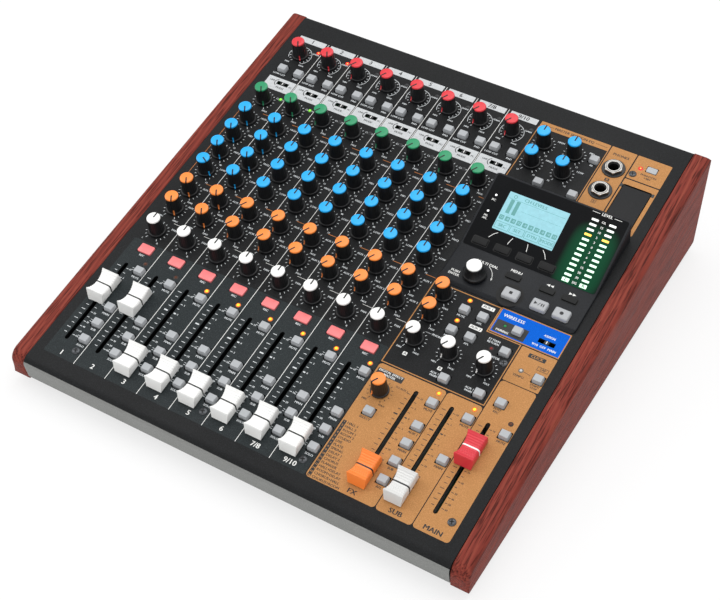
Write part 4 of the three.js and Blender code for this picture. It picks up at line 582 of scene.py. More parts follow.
def moulded(name, colour, roughness, grain_mm=0.35, bump=0.05, spread=0.08, **extra):
    """Injection-moulded plastic: a colour that wanders slightly with a fine noise, and the same
    noise as a very shallow bump. grain_mm is the size of one grain of the mould's texture."""
    material = bpy.data.materials.new(name)
    tree = emptied(material)
    spot = add(tree, "ShaderNodeTexCoord")
    grain = add(tree, "ShaderNodeTexNoise", values={"Scale": 1000 / grain_mm, "Detail": 2.0},
                links={"Vector": spot.outputs["Object"]})
    cloud = add(tree, "ShaderNodeTexNoise", values={"Scale": 1000 / 22, "Detail": 3.0},
                links={"Vector": spot.outputs["Object"]})
    base = np.array(linear(colour))
    low, high = (tuple(np.clip(base[:3] * k, 0, 1)) + (1.0,) for k in (1 - spread, 1 + spread))
    both = add(tree, "ShaderNodeMath", {"operation": "ADD"}, links={0: grain.outputs[0], 1: cloud.outputs[0]})
    half = add(tree, "ShaderNodeMath", {"operation": "MULTIPLY"}, {1: 0.5}, {0: both.outputs[0]})
    tint = add(tree, "ShaderNodeMix", {"data_type": "RGBA"}, {6: low, 7: high}, {0: half.outputs[0]})
    rough = add(tree, "ShaderNodeMapRange", values={1: 0.3, 2: 0.7, 3: roughness - 0.05, 4: roughness + 0.07},
                links={0: cloud.outputs[0]})
    relief = add(tree, "ShaderNodeBump", values={"Strength": bump, "Distance": 0.0001},
                 links={"Height": grain.outputs[0]})
    shader = add(tree, "ShaderNodeBsdfPrincipled", values=extra, links={
        "Base Color": tint.outputs[2], "Roughness": rough.outputs[0], "Normal": relief.outputs[0]})
    add(tree, "ShaderNodeOutputMaterial", links={"Surface": shader.outputs[0]})
    return material


# Black ABS is smoother than the coat round it, so the ribs catch thin highlights.
black_abs = moulded("black_moulded_abs", "#131416", 0.38, bump=0.12)
groove_black = moulded("groove_black", "#0B0B0C", 0.5)
# The cap discs are dyed through and polished by the mould, so they show full colour and a soft
# highlight.
CAPS = {
    "red_cap": moulded("red_cap_plastic", "#D8303A", 0.34),
    "green_cap": moulded("green_cap_plastic", "#1F8F5F", 0.34),
    "blue_cap": moulded("blue_cap_plastic", "#12A8EE", 0.34),
    "orange_cap": moulded("orange_cap_plastic", "#FB8B38", 0.34),
    "white_cap": moulded("white_cap_plastic", "#F1F1EF", 0.34),
}
ROW_CAPS = {
    "gain": "red_cap", "compressor": "green_cap", "eq_high": "blue_cap", "eq_mid_gain": "blue_cap",
    "eq_mid_frequency": "blue_cap", "eq_low": "blue_cap", "aux_first": "orange_cap",
    "aux_second": "orange_cap", "pan": "white_cap",
}
TURNED_UP_STRIPS = (0, 1)


def rest_turn(row, strip):
    """Where a strip's control is left: the first two strips are turned up, the others stand at
    their low end, and tone and pan controls stand upright."""
    if row == "pan":
        return 0
    if strip in TURNED_UP_STRIPS:
        return 120 if (row, strip) == ("eq_low", 0) else SWEEP
    return 0 if row.startswith("eq") else -SWEEP


for row, y in KNOB_ROWS.items():
    finishes = [black_abs, CAPS[ROW_CAPS[row]], groove_black]
    first = knob(COLUMNS[0], y, rest_turn(row, 0))
    build(f"{row}_control_1", first, finishes, f"{row}_knob_1", [f"{row}_knob_1"])
    others = [part for i in STRIPS if i for part in knob(COLUMNS[i], y, rest_turn(row, i))]
    build(f"{row}_controls", others, finishes, "console")
JOINTED_MASTER = ("phones_first", "phones_second", "monitor", "effect")
MASTER_CAPS = {
    "master": "blue_cap", "first": "orange_cap", "second": "orange_cap", "phones": "white_cap",
    "monitor": "white_cap", "effect": "orange_cap",
}
for name, (x, y) in MASTER_KNOBS.items():
    cap = MASTER_CAPS[name.split("_")[0]]
    nodes = [f"{name}_knob"] if name in JOINTED_MASTER else []
    turn = 0 if cap == "blue_cap" else -SWEEP
    build(f"{name}_control", knob(x, y, turn), [black_abs, CAPS[cap], groove_black],
          nodes[0] if nodes else "console", nodes)

# Push keys: grey caps moulded with a round-shouldered, slightly hollow top, each on a square stem
# that runs down to its switch.
KEY_STEPS = [(-1.6, 0.0), (0.8, 0.0), (1.0, 0.1), (2.45, 0.36), (2.8, 0.55), (2.9, 0.8),
             (2.84, 1.2), (2.8, 1.9)]
FLUSH_STEPS = [(-1.6, 0.0), (0.15, 0.0), (0.35, 0.12), (0.4, 0.4)]
CAP_SIZE = (7.0, 6.0)


def key(x, y, width=CAP_SIZE[0], depth=CAP_SIZE[1], steps=KEY_STEPS):
    """Round-cornered plans that draw in towards the top, over a square stem."""
    top = stacked(width, depth, steps, (x, y, 0), 0.95, 24)
    stem = stacked(3.0, 3.0, [(-8.5, 0), (-1.55, 0)], (x, y, 0), 0.3, 12)
    return [top, stem]


# The keys are pale satin ABS, with a soft highlight on every shoulder.
grey_keys = moulded("grey_key_plastic", "#A8ABAE", 0.42)
for name, (dx, y) in STRIP_KEYS.items():
    node = f"{name}_key_1"
    build(f"{name}_key_cap_1", key(COLUMNS[0] + dx, y), [grey_keys], node, [node])
    build(f"{name}_key_caps", [part for i in STRIPS if i for part in key(COLUMNS[i] + dx, y)],
          [grey_keys], "console")
master_keys = [part for x, y in MASTER_KEYS for part in key(x, y)]
build("master_key_caps", master_keys, [grey_keys], "console")
build("effect_select_cap", key(*SELECT_KEY), [grey_keys], "effect_select_key",
      ["effect_select_key"])
build("main_mute_cap", key(*MAIN_MUTE), [grey_keys], "main_mute_key", ["main_mute_key"])
flush_key = key(*PHANTOM_KEY, *FLUSH_SIZE, FLUSH_STEPS)
build("phantom_key_cap", flush_key, [grey_keys], "console")

# Record keys: low oblong caps moulded in salmon pink plastic that lets some light in, with a fine
# stipple on the mould that dulls the highlight.
pink_keys = moulded("pink_key_plastic", "#F47F80", 0.36, grain_mm=0.8, bump=0.3, spread=0.14)
RECORD_STEPS = [(-1.6, 0.0), (0.45, 0.0), (0.75, 0.15), (0.9, 0.5)]
record_key = [key(COLUMNS[i] + RECORD_KEY[0], RECORD_KEY[1], *RECORD_SIZE, RECORD_STEPS) for i in STRIPS]
build("record_key_cap_1", record_key[0], [pink_keys], "record_key_1", ["record_key_1"])
build("record_key_caps", sum(record_key[1:], []), [pink_keys], "console")

# Slide switches: small black ABS levers that slide sideways in their slots, each with a pale
# line of painted highlight across its top.
LEVER_STEPS = [(-5.0, 0.0), (0.1, 0.0), (0.3, 0.15), (0.4, 0.4)]
LEVER_HIGHLIGHT_LINE = [(0.3, 0), (0.44, 0)]


def lever(x, y):
    """A small round-cornered block with a pale line of painted highlight across its top."""
    block = stacked(3.6, 2.8, LEVER_STEPS, (x, y, 0), 0.3, 12)
    return [block, stacked(0.5, 2.4, LEVER_HIGHLIGHT_LINE, (x, y, 0), 0.1, 12, 1)]


# The levers' pale line is a painted highlight in plain matt white; the red fader cap's line uses the same
# white.
white_mark_and_painted_highlight = moulded("white_mark_and_painted_highlight", "#F4F4F2", 0.4)
lever_looks = [black_abs, white_mark_and_painted_highlight]
levers = [part for i in STRIPS for part in lever(COLUMNS[i] + MODE_SWITCH[0], MODE_SWITCH[1])]
build("mode_lever_1", levers[:2], lever_looks, "mode_switch_1", ["mode_switch_1"])
build("mode_levers", levers[2:], lever_looks, "console")
build("assign_lever", lever(*ASSIGN_SWITCH), lever_looks, "assign_switch",
      ["assign_switch"])

# Faders: a saddle-shaped cap with fine cross ribs and a line across its valley, on a steel stem
# that reaches through the slot to its carriage.
CAP_HALF_LENGTH = 11.4
CAP_RIDGE = 9.5
CAP_TOP = 10.0
CAP_VALLEY = 7.4
CAP_LIFT = 0.8
CAP_HALF_BASE = 5.8
CAP_HALF_RIDGE = 6.8
CAP_HALF_VALLEY = 5.9
RIDGE_SOFT = 0.45
VALLEY_SOFT = 2.0
RIB_PITCH = 1.55
RIB_DEPTH = 0.16
FADER_RESTS = {0: 39.6, 1: 40.1, 10: 41.5}


def moved(part, place):
    """The same part shifted by a place."""
    return part[0] + np.asarray(place, float), part[1], part[2]


def fader_cap(x, y):
    """The top line z(s) climbs the front face, rounds the ridge, follows valley + dip s^2 with
    ribs depth (1 - cos(2 pi y / pitch)) / 2 below it, and comes down the rear face as it went up.
    Across it, each section leans out from the skirt's width to the top's, which is widest at the
    ridges, and its shoulders are roundest in the valley: both follow (y / ridge)^2."""
    saddle = np.linspace(-CAP_RIDGE + 0.9, CAP_RIDGE - 0.9, 121)
    dip = CAP_TOP - CAP_VALLEY
    z = CAP_VALLEY + dip * (saddle / CAP_RIDGE) ** 2
    ribbed = np.clip((np.abs(saddle) - 1.6) / 0.6, 0, 1)
    ribbed *= np.clip((CAP_RIDGE - 1.4 - np.abs(saddle)) / 0.4, 0, 1)
    z = z - ribbed * RIB_DEPTH * (1 - np.cos(2 * math.pi * saddle / RIB_PITCH))
    climb = np.linspace(0, 1, 12)[:-1]
    front = np.column_stack([-CAP_HALF_LENGTH + (CAP_HALF_LENGTH - CAP_RIDGE) * climb,
                             CAP_LIFT + (CAP_TOP - 0.6 - CAP_LIFT) * climb])
    roll = arc((-CAP_RIDGE + 0.6, CAP_TOP - 0.62), 0.6, 170, 95, 6)
    top = np.column_stack([saddle, z])
    path = np.concatenate([front, roll, top, roll[::-1] * (-1, 1), front[::-1] * (-1, 1)])
    share = (path[:, 1] - CAP_LIFT) / (CAP_TOP - CAP_LIFT)
    rise = np.clip(np.abs(path[:, 0]) / CAP_RIDGE, 0, 1) ** 2
    half_top = CAP_HALF_VALLEY + (CAP_HALF_RIDGE - CAP_HALF_VALLEY) * rise
    half = CAP_HALF_BASE + (half_top - CAP_HALF_BASE) * share
    soft = np.minimum(VALLEY_SOFT + (RIDGE_SOFT - VALLEY_SOFT) * rise, path[:, 1] - CAP_LIFT)
    bend = np.radians(np.linspace(0, 90, 5))
    across = [(-CAP_HALF_BASE * np.ones(len(path)), np.full(len(path), CAP_LIFT))]
    across += [(-half + soft * (1 - math.cos(a)), path[:, 1] - soft * (1 - math.sin(a))) for a in bend]
    across += [(-column[0], column[1]) for column in across[::-1]]
    sheet = np.stack([np.stack([xs, path[:, 0], zs], -1) for xs, zs in across], 1)
    rows, columns = sheet.shape[:2]
    faces = [face[::-1] for face in skin(rows, columns)]
    left_edge = [i * columns for i in range(rows)]
    right_edge = [i * columns + columns - 1 for i in range(rows)]
    faces.append(left_edge + right_edge[::-1])
    return moved((sheet.reshape(-1, 3), faces, [0] * len(faces)), (x, y, 0))


def fader(x, y):
    """The cap, a line laid across its valley, the stem and the carriage under the deck."""
    shoulder = (CAP_HALF_VALLEY - VALLEY_SOFT, CAP_VALLEY - VALLEY_SOFT)
    right = arc(shoulder, VALLEY_SOFT + 0.06, 90, 0, 8)
    right = np.vstack([right, [(CAP_HALF_BASE + 0.08, CAP_LIFT + 0.4)]])
    line = np.vstack([right[::-1] * (-1, 1), right])
    rings = np.array([[(px, side * 0.5, pz) for px, pz in line] for side in (1, -1)])
    band = loft(rings, 1)
    stem = stacked(1.6, 6.0, [(-12.0, 0), (CAP_LIFT + 0.2, 0)], (0, 0, 0), 0.3, 12, 2)
    carriage = stacked(5.0, 9.0, [(-12.2, 0), (-8.2, 0)], (0, 0, 0), 0.4, 12, 3)
    return [fader_cap(x, y)] + [moved(part, (x, y, 0)) for part in (band, stem, carriage)]


# The stems are bright drawn steel. The caps are dyed ABS, whose satin face shows every rib.
bright_steel = moulded("bright_steel", "#B9BCC0", 0.3, Metallic=1.0)
line_black = moulded("line_black", "#101112", 0.45)
FADER_CAPS = {
    "white": (moulded("white_fader_plastic", "#F0F0EE", 0.4), line_black, "white_cap"),
    "orange": (moulded("orange_fader_plastic", "#FB8334", 0.4), line_black, "orange_cap"),
    "grey": (moulded("pale_fader_plastic", "#DADAD8", 0.4), line_black, "white_cap"),
    "red": (moulded("red_fader_plastic", "#D4343F", 0.4), white_mark_and_painted_highlight, "red_cap"),
}
FADERS = [(f"fader_{i + 1}", STRIP_FADERS[i], FADER_RESTS.get(i, 0), "white") for i in STRIPS]
FADERS += [("effect_fader", MASTER_FADERS[0], 0, "orange"), ("sub_fader", MASTER_FADERS[1], 0, "grey"),
           ("main_fader", MASTER_FADERS[2], FADER_RESTS[10], "red")]
for node, x, rest, colour in FADERS:
    cap, line, slot_name = FADER_CAPS[colour]
    build(f"{node}_cap", fader(x, FADER_LOW + rest), [cap, line, bright_steel, black_abs], node,
          [node])

# Display housing: a moulded hood of matt black ABS. Its front is a low shelf for the keys and the
# jog dial, and behind a kink it slopes up, so that the display faces the operator.
HOOD_LEFT = 52.0
HOOD_RIGHT = 152.0
HOOD_FRONT = 181.4
HOOD_SHELF = 184.8
HOOD_KINK = 214.0
HOOD_REAR = 270.0
SHELF_HEIGHT = 1.9
FACE_RISE = 15.9
FACE_RUN = 54.9
HOOD_CORNER = 3.5
FACE_TILT = math.atan2(FACE_RISE, FACE_RUN)


def on_face(part):
    """The same part laid on the sloping face: its second coordinate runs up the slope from the
    kink and its third stands out of the face."""
    x, up, out = np.asarray(part[0], float).T
    y = HOOD_KINK + up * math.cos(FACE_TILT) - out * math.sin(FACE_TILT)
    z = SHELF_HEIGHT + up * math.sin(FACE_TILT) + out * math.cos(FACE_TILT)
    return np.stack([x, y, z], -1), part[1], part[2]


def hood():
    """Arched sections along y: each stands between the side walls, whose ends draw in by
    r (1 - cos a) at the rounded corners, under a top that follows the shelf and then the slope.
    The top's long edges are rolled over by a small radius."""
    turn = np.linspace(0, math.pi / 2, 9)
    front = [(HOOD_FRONT + HOOD_CORNER * (1 - math.cos(a)), HOOD_CORNER * (1 - math.sin(a))) for a in turn]
    rear = [(HOOD_REAR - y + HOOD_FRONT, inset) for y, inset in front[::-1]]
    middle = [(y, 0.0) for y in (HOOD_KINK - 1.2, HOOD_KINK, HOOD_KINK + 1.2, 230.0, 250.0)]
    rings = []
    for y, inset in front + middle + rear:
        shelf = SHELF_HEIGHT * np.clip((y - HOOD_FRONT + 0.5) / (HOOD_SHELF - HOOD_FRONT), 0, 1)
        top = shelf + FACE_RISE / FACE_RUN * max(0.0, y - HOOD_KINK)
        back = max(0.0, y - HOOD_REAR + 2.0)
        top -= 2.0 - math.sqrt(4.0 - min(back, 1.98) ** 2)
        roll = min(0.8, top - 0.12)
        bend = np.linspace(0, math.pi / 2, 5)
        left = np.stack([HOOD_LEFT + inset + roll * (1 - np.cos(bend)), top - roll * (1 - np.sin(bend))], -1)
        right = left[::-1] * (-1, 1) + (HOOD_LEFT + HOOD_RIGHT, 0)
        outline = np.concatenate([[(HOOD_LEFT + inset, 0.03)], left, right, [(HOOD_RIGHT - inset, 0.03)]])
        rings.append(np.column_stack([outline[:, 0], np.full(len(outline), y), outline[:, 1]]))
    return loft(np.array(rings))


# The hood's spark-eroded texture keeps it a dull blue-black beside the shining overlay.
hood_black = powder_coat("matt_black_hood", "#101216", "#1F2227", 0.5, 0.2)
build("display_hood", [hood()], [hood_black], "console", ["display_housing"], sharp=30)

# The overlay is one gloss black sheet let into the sloping face. Behind it glow the level meter's
# lamps, and round the two columns the sheet gives off a painted green glow for their spilt light.
FACE_LENGTH = 57.16
METER_COLUMNS = (128.6, 141.2)
METER_MIDDLE = 134.9
METER_FIRST = 3.4
METER_PITCH = 3.85
GLOW_CENTRE = (METER_MIDDLE, 20.0)
GLOW_HALF = (13.8, 22.5)


def gloss_with_painted_glow():
    """Gloss black with a painted green glow that the sheet gives off itself: the fourth powers of the
    distances from the meter's middle, along x and up the slope in half sizes of the glow, add up to a
    soft oblong."""
    material = bpy.data.materials.new("gloss_overlay_with_painted_glow")
    tree = emptied(material)
    spot = add(tree, "ShaderNodeTexCoord")
    marks = np.array([[*GLOW_CENTRE, 0], [0, 0, 0], [0, 1, 0]])
    middle, foot, up = on_deck(on_face((marks, [], []))[0])
    up_slope = (up - foot) / np.linalg.norm(up - foot)
    shift = add(tree, "ShaderNodeVectorMath", {"operation": "SUBTRACT"}, {1: tuple(middle)},
                {0: spot.outputs["Object"]})
    powers = []
    for axis, half in (((1, 0, 0), GLOW_HALF[0]), (tuple(up_slope), GLOW_HALF[1])):
        along = add(tree, "ShaderNodeVectorMath", {"operation": "DOT_PRODUCT"},
                    {1: tuple(np.array(axis) * 1000 / half)}, {0: shift.outputs[0]})
        length = add(tree, "ShaderNodeMath", {"operation": "ABSOLUTE"}, links={0: along.outputs["Value"]})
        powers.append(add(tree, "ShaderNodeMath", {"operation": "POWER"}, {1: 4.0}, {0: length.outputs[0]}))
    total = add(tree, "ShaderNodeMath", {"operation": "ADD"},
                links={0: powers[0].outputs[0], 1: powers[1].outputs[0]})
    glow = add(tree, "ShaderNodeMapRange", {"interpolation_type": "SMOOTHSTEP"}, {1: 2.8, 2: 0.0},
               {0: total.outputs[0]})
    dust = add(tree, "ShaderNodeTexNoise", values={"Scale": 1000 / 9, "Detail": 3.0},
               links={"Vector": spot.outputs["Object"]})
    rough = add(tree, "ShaderNodeMapRange", values={1: 0.3, 2: 0.7, 3: 0.24, 4: 0.34},
                links={0: dust.outputs[0]})
    shader = add(tree, "ShaderNodeBsdfPrincipled",
                 values={"Base Color": linear("#0C0D0F"), "Specular IOR Level": 0.06,
                         "Emission Color": linear("#00482A")},
                 links={"Roughness": rough.outputs[0], "Emission Strength": glow.outputs[0]})
    add(tree, "ShaderNodeOutputMaterial", links={"Surface": shader.outputs[0]})
    return material


def plate(x, y, width, depth, low, high, corner=0.4, finish=0, around=16):
    """A thin round-cornered plate between two heights."""
    return stacked(width, depth, [(low, 0), (high, 0)], (x, y, 0), corner, around, finish)


OVERLAY_SIZE = (96.8, FACE_LENGTH - 1.8)
overlay_place = ((HOOD_LEFT + HOOD_RIGHT) / 2, FACE_LENGTH / 2)
overlay = plate(*overlay_place, *OVERLAY_SIZE, -0.5, 0.14, 1.6, 0, 32)
# The overlay's own material paints the green glow round the meter.
build("gloss_overlay_sheet", [on_face(overlay)], [gloss_with_painted_glow()], "console",
      ["display_overlay"])

# The screen: a lit pale blue panel in the overlay, with a title row, two tall bars, a row of small
# boxes and a row of soft-key boxes, all in teal. The light behind it is even and gives no gloss.
PRINT_HEIGHT = 0.05
ON_SCREEN = 0.22
SCREEN = (89.4, 32.8, 44.4, 29.2)
BOX_PITCH = 4.35
SOFT_PITCH = 11


def lamp(name, colour, strength, body_colour="#101010", roughness=0.3):
    """Something lit from inside: a plain body that gives off its colour, slightly uneven."""
    material = bpy.data.materials.new(name)
    tree = emptied(material)
    spot = add(tree, "ShaderNodeTexCoord")
    cloud = add(tree, "ShaderNodeTexNoise", values={"Scale": 1000 / 2.5},
                links={"Vector": spot.outputs["Object"]})
    level = add(tree, "ShaderNodeMapRange", values={1: 0.3, 2: 0.7, 3: strength * 0.93, 4: strength * 1.05},
                links={0: cloud.outputs[0]})
    shader = add(tree, "ShaderNodeBsdfPrincipled",
                 values={"Base Color": linear(body_colour), "Roughness": roughness,
                         "Emission Color": linear(colour)},
                 links={"Emission Strength": level.outputs[0]})
    add(tree, "ShaderNodeOutputMaterial", links={"Surface": shader.outputs[0]})
    return material


def words(text, x, y, size, finish=0, height=PRINT_HEIGHT, align="CENTER", wide=1.0, bold=0.045):
    """Printed words: a font curve made mesh, as flat faces centred on (x, y), and printed twice a
    little apart, which makes every upright stroke heavier by twice bold times the size."""
    curve = bpy.data.curves.new("words", "FONT")
    curve.body = text
    curve.size = size * 1.58
    curve.align_x = align
    curve.align_y = "CENTER"
    curve.resolution_u = 2
    points, faces = mesh_of(curve)
    flat = points * (wide, 1, 0) + (x, y, height)
    apart = (bold * size, 0, 0)
    both = np.vstack([flat - apart, flat + apart + (0, 0, 0.005)])
    faces += [[k + len(flat) for k in face] for face in faces]
    return both, faces, [finish] * len(faces)


def stroke(points, width, finish=0, height=PRINT_HEIGHT, close=False):
    """A printed line of one width: each joint's two edge points lie half the width to either side,
    along the mean of the neighbouring lines' normals."""
    path = np.asarray(points, float)
    step = np.diff(np.vstack([path, path[:1]]) if close else path, axis=0)
    normal = np.stack([-step[:, 1], step[:, 0]], -1) / np.linalg.norm(step, axis=1)[:, None]
    if close:
        mean = normal + np.roll(normal, 1, 0)
    else:
        mean = np.vstack([normal[:1], normal[1:] + normal[:-1], normal[-1:]])
    mean /= np.linalg.norm(mean, axis=1)[:, None]
    reach = np.maximum(0.6, np.sum(mean * (normal if close else np.vstack([normal, normal[-1:]])), 1))
    offset = mean * (width / 2 / reach)[:, None]
    edges = np.stack([path - offset, path + offset], 1).reshape(-1, 2)
    faces = skin(len(path), 2, close_rows=close)
    faces = [[face[0], face[3], face[2], face[1]] for face in faces]
    return np.column_stack([edges, np.full(len(edges), height)]), faces, [finish] * len(faces)


screen_x, screen_y = SCREEN[:2]
screen_parts = [plate(*SCREEN, -0.3, 0.2, 0.3)]
teal_blocks = [(-17.6, 4.2, 2.7, 10.6), (-13.2, 4.2, 2.7, 10.6)]
teal_blocks += [(-19.6 + BOX_PITCH * i, -4.9, 3.3, 3.4) for i in range(10)]
for dx, dy, width, depth in teal_blocks:
    screen_parts.append(plate(screen_x + dx, screen_y + dy, width, depth, 0.15, ON_SCREEN, 0.2, 1, 8))
for i in range(10):
    box_x = screen_x - 19.6 + BOX_PITCH * i
    screen_parts.append(words("-0" if i % 3 else "12", box_x, screen_y - 4.9, 1.5, height=0.24))
for i, text in enumerate(("SRC", "SET", "DYN", "MODE")):
    middle = screen_x - 16.4 + SOFT_PITCH * i
    low, high = screen_y - 13.2, screen_y - 8.2
    box = [(middle - 5, low), (middle + 5, low), (middle + 5, high), (middle - 5, high)]
    screen_parts.append(stroke(box, 0.35, 1, ON_SCREEN, close=True))
    screen_parts.append(words(text, middle, screen_y - 10.7, 2.1, 1, ON_SCREEN))
for width, left, right, dy in ((0.22, -21, 21, 9.9), (0.14, -9, 20, 3.4)):
    rule = [(screen_x + left, screen_y + dy), (screen_x + right, screen_y + dy)]
    screen_parts.append(stroke(rule, width, 1, ON_SCREEN))
screen_parts.append(words("CH LEVELS", screen_x - 2.0, screen_y + 12.0, 2.2, 1, ON_SCREEN))
badge = circle(screen_x - 17.0, screen_y + 12.0, 1.1, 14)
screen_parts.append(stroke(badge, 0.45, 1, ON_SCREEN, close=True))
# The panel glows flat and pale, and its teal marks are only a little darker.
screen_lit = lamp("screen_lit_blue", "#A2E6F4", 0.84, "#1C2426", 0.2)
screen_teal = lamp("screen_teal", "#62B4B2", 0.8, "#101818", 0.2)
build("screen_picture", [on_face(part) for part in screen_parts], [screen_lit, screen_teal], "console",
      ["screen_glass"])

# Level meter: two columns of light pipes. The lower eight of each column are lit green, the next
# one amber, and the top three are unlit white. A square with its letter closes each column.
# The pipes are clear acrylic: full of even light where lit, and milky white where not, with a faint
# painted glow that keeps the unlit ones bright.
# The unlit pipes glow faintly: painted light.
pipe_white_painted_glow = lamp("pipe_white_painted_glow", "#E9EEEA", 0.55, "#D8DCD8")
pipe_amber = lamp("pipe_amber", "#FFC02E", 1.0, "#FFC860")
pipe_green = lamp("pipe_green", "#C9F3D6", 0.82, "#C8EED2")
letter_dark = lamp("letter_dark", "#0B4A26", 0.4, "#06200F")
segments = []
for x, letter in zip(METER_COLUMNS, "LR"):
    for step in range(13):
        up = METER_FIRST + METER_PITCH * step
        kind = 2 if step < 9 else 1 if step == 9 else 0
        depth = 1.6 if step else 2.7
        segments.append(on_face(plate(x, up, 4.9, depth, -0.3, 0.24, 0.3, kind, 12)))
    segments.append(on_face(words(letter, x, METER_FIRST, 2.0, 3, height=0.26)))
build("meter_segments", segments, [pipe_white_painted_glow, pipe_amber, pipe_green, letter_dark], "console",
      ["meter_block"])

# White ink on the overlay: the meter's scale, the section's name, and the lines that lead from
# the screen to the soft keys. Two small white lamps stand left of the screen.
SOFT_KEYS = 64.4 + 16.45 * np.arange(4)
PRINT_LIFT = 0.12
LAMP_COLUMN = 59.3
TITLE_UP = 55.0
METER_SCALE = ("OL", "15", "10", "5", "3", "0", "3", "6", "9", "15", "20", "30", "SIG")
# Screened ink lies matt on the gloss, with no highlight of its own.
print_white = moulded("white_print", "#E6E6E3", 0.5, bump=0.02)
white_lamp = lamp("white_lamp", "#FFFFFF", 0.9, "#F0F0F0")
face_print = [words("LEVEL", METER_MIDDLE, TITLE_UP, 1.9)]
for side in (-1, 1):
    rule = [(METER_MIDDLE + side * 5.2, TITLE_UP), (METER_MIDDLE + side * 10.5, TITLE_UP)]
    face_print.append(stroke(rule, 0.35))
for step, mark in enumerate(METER_SCALE[::-1]):
    face_print.append(words(mark, METER_MIDDLE, METER_FIRST + METER_PITCH * step, 1.5))
for i, x in enumerate(SOFT_KEYS):
    start = screen_x - 16.6 + 11.1 * i
    lead = [(start, 16.6), (start + (x - start) * 0.28, 14.6), (start + (x - start) * 0.55, 11.2)]
    face_print.append(stroke(lead, 0.4))
face_print += [words("PC", LAMP_COLUMN, 37.4, 1.5), words("PFL\nAFL", LAMP_COLUMN, 24.0, 1.3)]
face_print = [on_face(moved(part, (0, 0, PRINT_LIFT))) for part in face_print]
build("overlay_print", face_print, [print_white], "console")


def dome(x, y, radius, rise, base):
    """A small lamp dome: rings of radius r cos a at height h sin a."""
    turn = np.linspace(0, math.pi / 2 * 0.96, 6)
    profile = [(radius, base - 0.2)] + [(radius * math.cos(a), base + rise * math.sin(a)) for a in turn]
    return lathe(profile, 16, (x, y, 0))


lamp_domes = [on_face(dome(LAMP_COLUMN, up, 0.8, 0.5, 0.1)) for up in (41.2, 28.6)]
build("overlay_lamps", lamp_domes, [white_lamp], "console")

# Keys on the hood: four black soft keys on the slope, three black bar keys on the shelf, and three
# pale grey transport keys, whose caps are tall, round-shouldered and printed with their signs. The
# black ones stand on plates of painted shade that fill their gaps, and the stop key on a disc of
# painted shade for its round well.
SOFT_UP = 6.4
SOFT_CAP = (10.6, 4.9)
SOFT_GAP = (12.0, 6.3)
SOFT_STEPS = [(-1.4, 0.0), (0.75, 0.0), (0.95, 0.12), (1.0, 0.35)]
# The black keys are duller than the gloss round them, so their edges show as soft lines.
black_keys = moulded("black_key_plastic", "#0D0E0F", 0.5, bump=0.1, **{"Specular IOR Level": 0.25})
# Painted shade: a near-black matt laid in the gaps round the black keys, in the stop key's well, in the
# screws' cross recesses and round the door's thumb hollow.
painted_shade_black = moulded("painted_gap_shade", "#050505", 0.7)
# Each soft key stands on a plate of painted shade a little larger than its cap.
soft_keys = []
for x in SOFT_KEYS:
    soft_keys.append(on_face(plate(x, SOFT_UP, *SOFT_GAP, 0.0, 0.16, 1.1, 1)))
    soft_keys.append(on_face(stacked(*SOFT_CAP, SOFT_STEPS, (x, SOFT_UP, 0), 0.8, 24)))
build("soft_key_caps", soft_keys, [black_keys, painted_shade_black], "console")

BAR_KEYS = {"menu": 97.2, "rewind": 121.8, "forward": 137.9}
BAR_Y = 204.2
BAR_CAP = (10.4, 4.3)
BAR_GAP = (11.8, 5.7)
BAR_STEPS = [(1.0, 0.0), (2.65, 0.0), (2.85, 0.12), (2.9, 0.35)]
# Each bar key stands on a plate of painted shade on the shelf.
bar_keys = []
for x in BAR_KEYS.values():
    bar_keys.append(plate(x, BAR_Y, *BAR_GAP, 1.8, 1.93, 1.1, 1))
    bar_keys.append(stacked(*BAR_CAP, BAR_STEPS, (x, BAR_Y, 0), 0.8, 24))
build("bar_key_caps", bar_keys, [black_keys, painted_shade_black], "console")

TRANSPORT_Y = 190.4
TRANSPORT = {"stop_key": 102.4, "play_key": 122.9, "capture_key": 138.8}
TRANSPORT_CAP = (11.4, 8.4)
TRANSPORT_STEPS = [(1.9, 0.0), (3.9, 0.1), (4.5, 0.35), (4.8, 0.75), (4.9, 1.3)]
SIGN_HEIGHT = 4.93
# The transport keys have a coarser grain, which gives them a stone-like dull grey.
pale_keys = moulded("pale_grey_key_plastic", "#A6A8AB", 0.42, grain_mm=0.7, bump=0.25, spread=0.1)
sign_black = moulded("sign_black", "#16171A", 0.5)
# The stop key's round well is a flat disc of painted shade.
well_shade_place = (TRANSPORT["stop_key"] - 0.6, TRANSPORT_Y - 0.3, 0)
build("stop_key_well_shade", [lathe([(9.2, 1.85), (9.2, 1.94)], 40, well_shade_place)], [painted_shade_black],
      "console")


def printed(path, height, finish=0):
    """A flat printed shape: one face through the points of a closed path, at one height."""
    points = np.column_stack([path, np.full(len(path), height)])
    return points, [list(range(len(path)))], [finish]


def sign(name, x, y):
    """The stop square, the play triangle with a slash and two bars, and the record dot."""
    if name == "stop_key":
        return [stroke([(x - 1.1, y), (x + 1.1, y)], 2.2, 1, SIGN_HEIGHT)]
    if name == "capture_key":
        return [printed(circle(x, y, 1.35, 18), SIGN_HEIGHT, 1)]
    marks = [printed([(x - 3.6, y - 1.3), (x - 1.2, y), (x - 3.6, y + 1.3)], SIGN_HEIGHT, 1)]
    marks.append(stroke([(x - 0.7, y - 1.3), (x + 0.5, y + 1.3)], 0.4, 1, SIGN_HEIGHT))
    for dx in (1.7, 3.1):
        marks.append(stroke([(x + dx, y - 1.2), (x + dx, y + 1.2)], 0.75, 1, SIGN_HEIGHT))
    return marks


for name, x in TRANSPORT.items():
    cap = stacked(*TRANSPORT_CAP, TRANSPORT_STEPS, (x, TRANSPORT_Y, 0), 1.4, 32)
    stem = stacked(3.0, 3.0, [(-8.5, 0), (2.0, 0)], (x, TRANSPORT_Y, 0), 0.3, 12)
    build(f"{name}_cap", [cap, stem, *sign(name, x, TRANSPORT_Y)], [pale_keys, sign_black], name,
          [name])

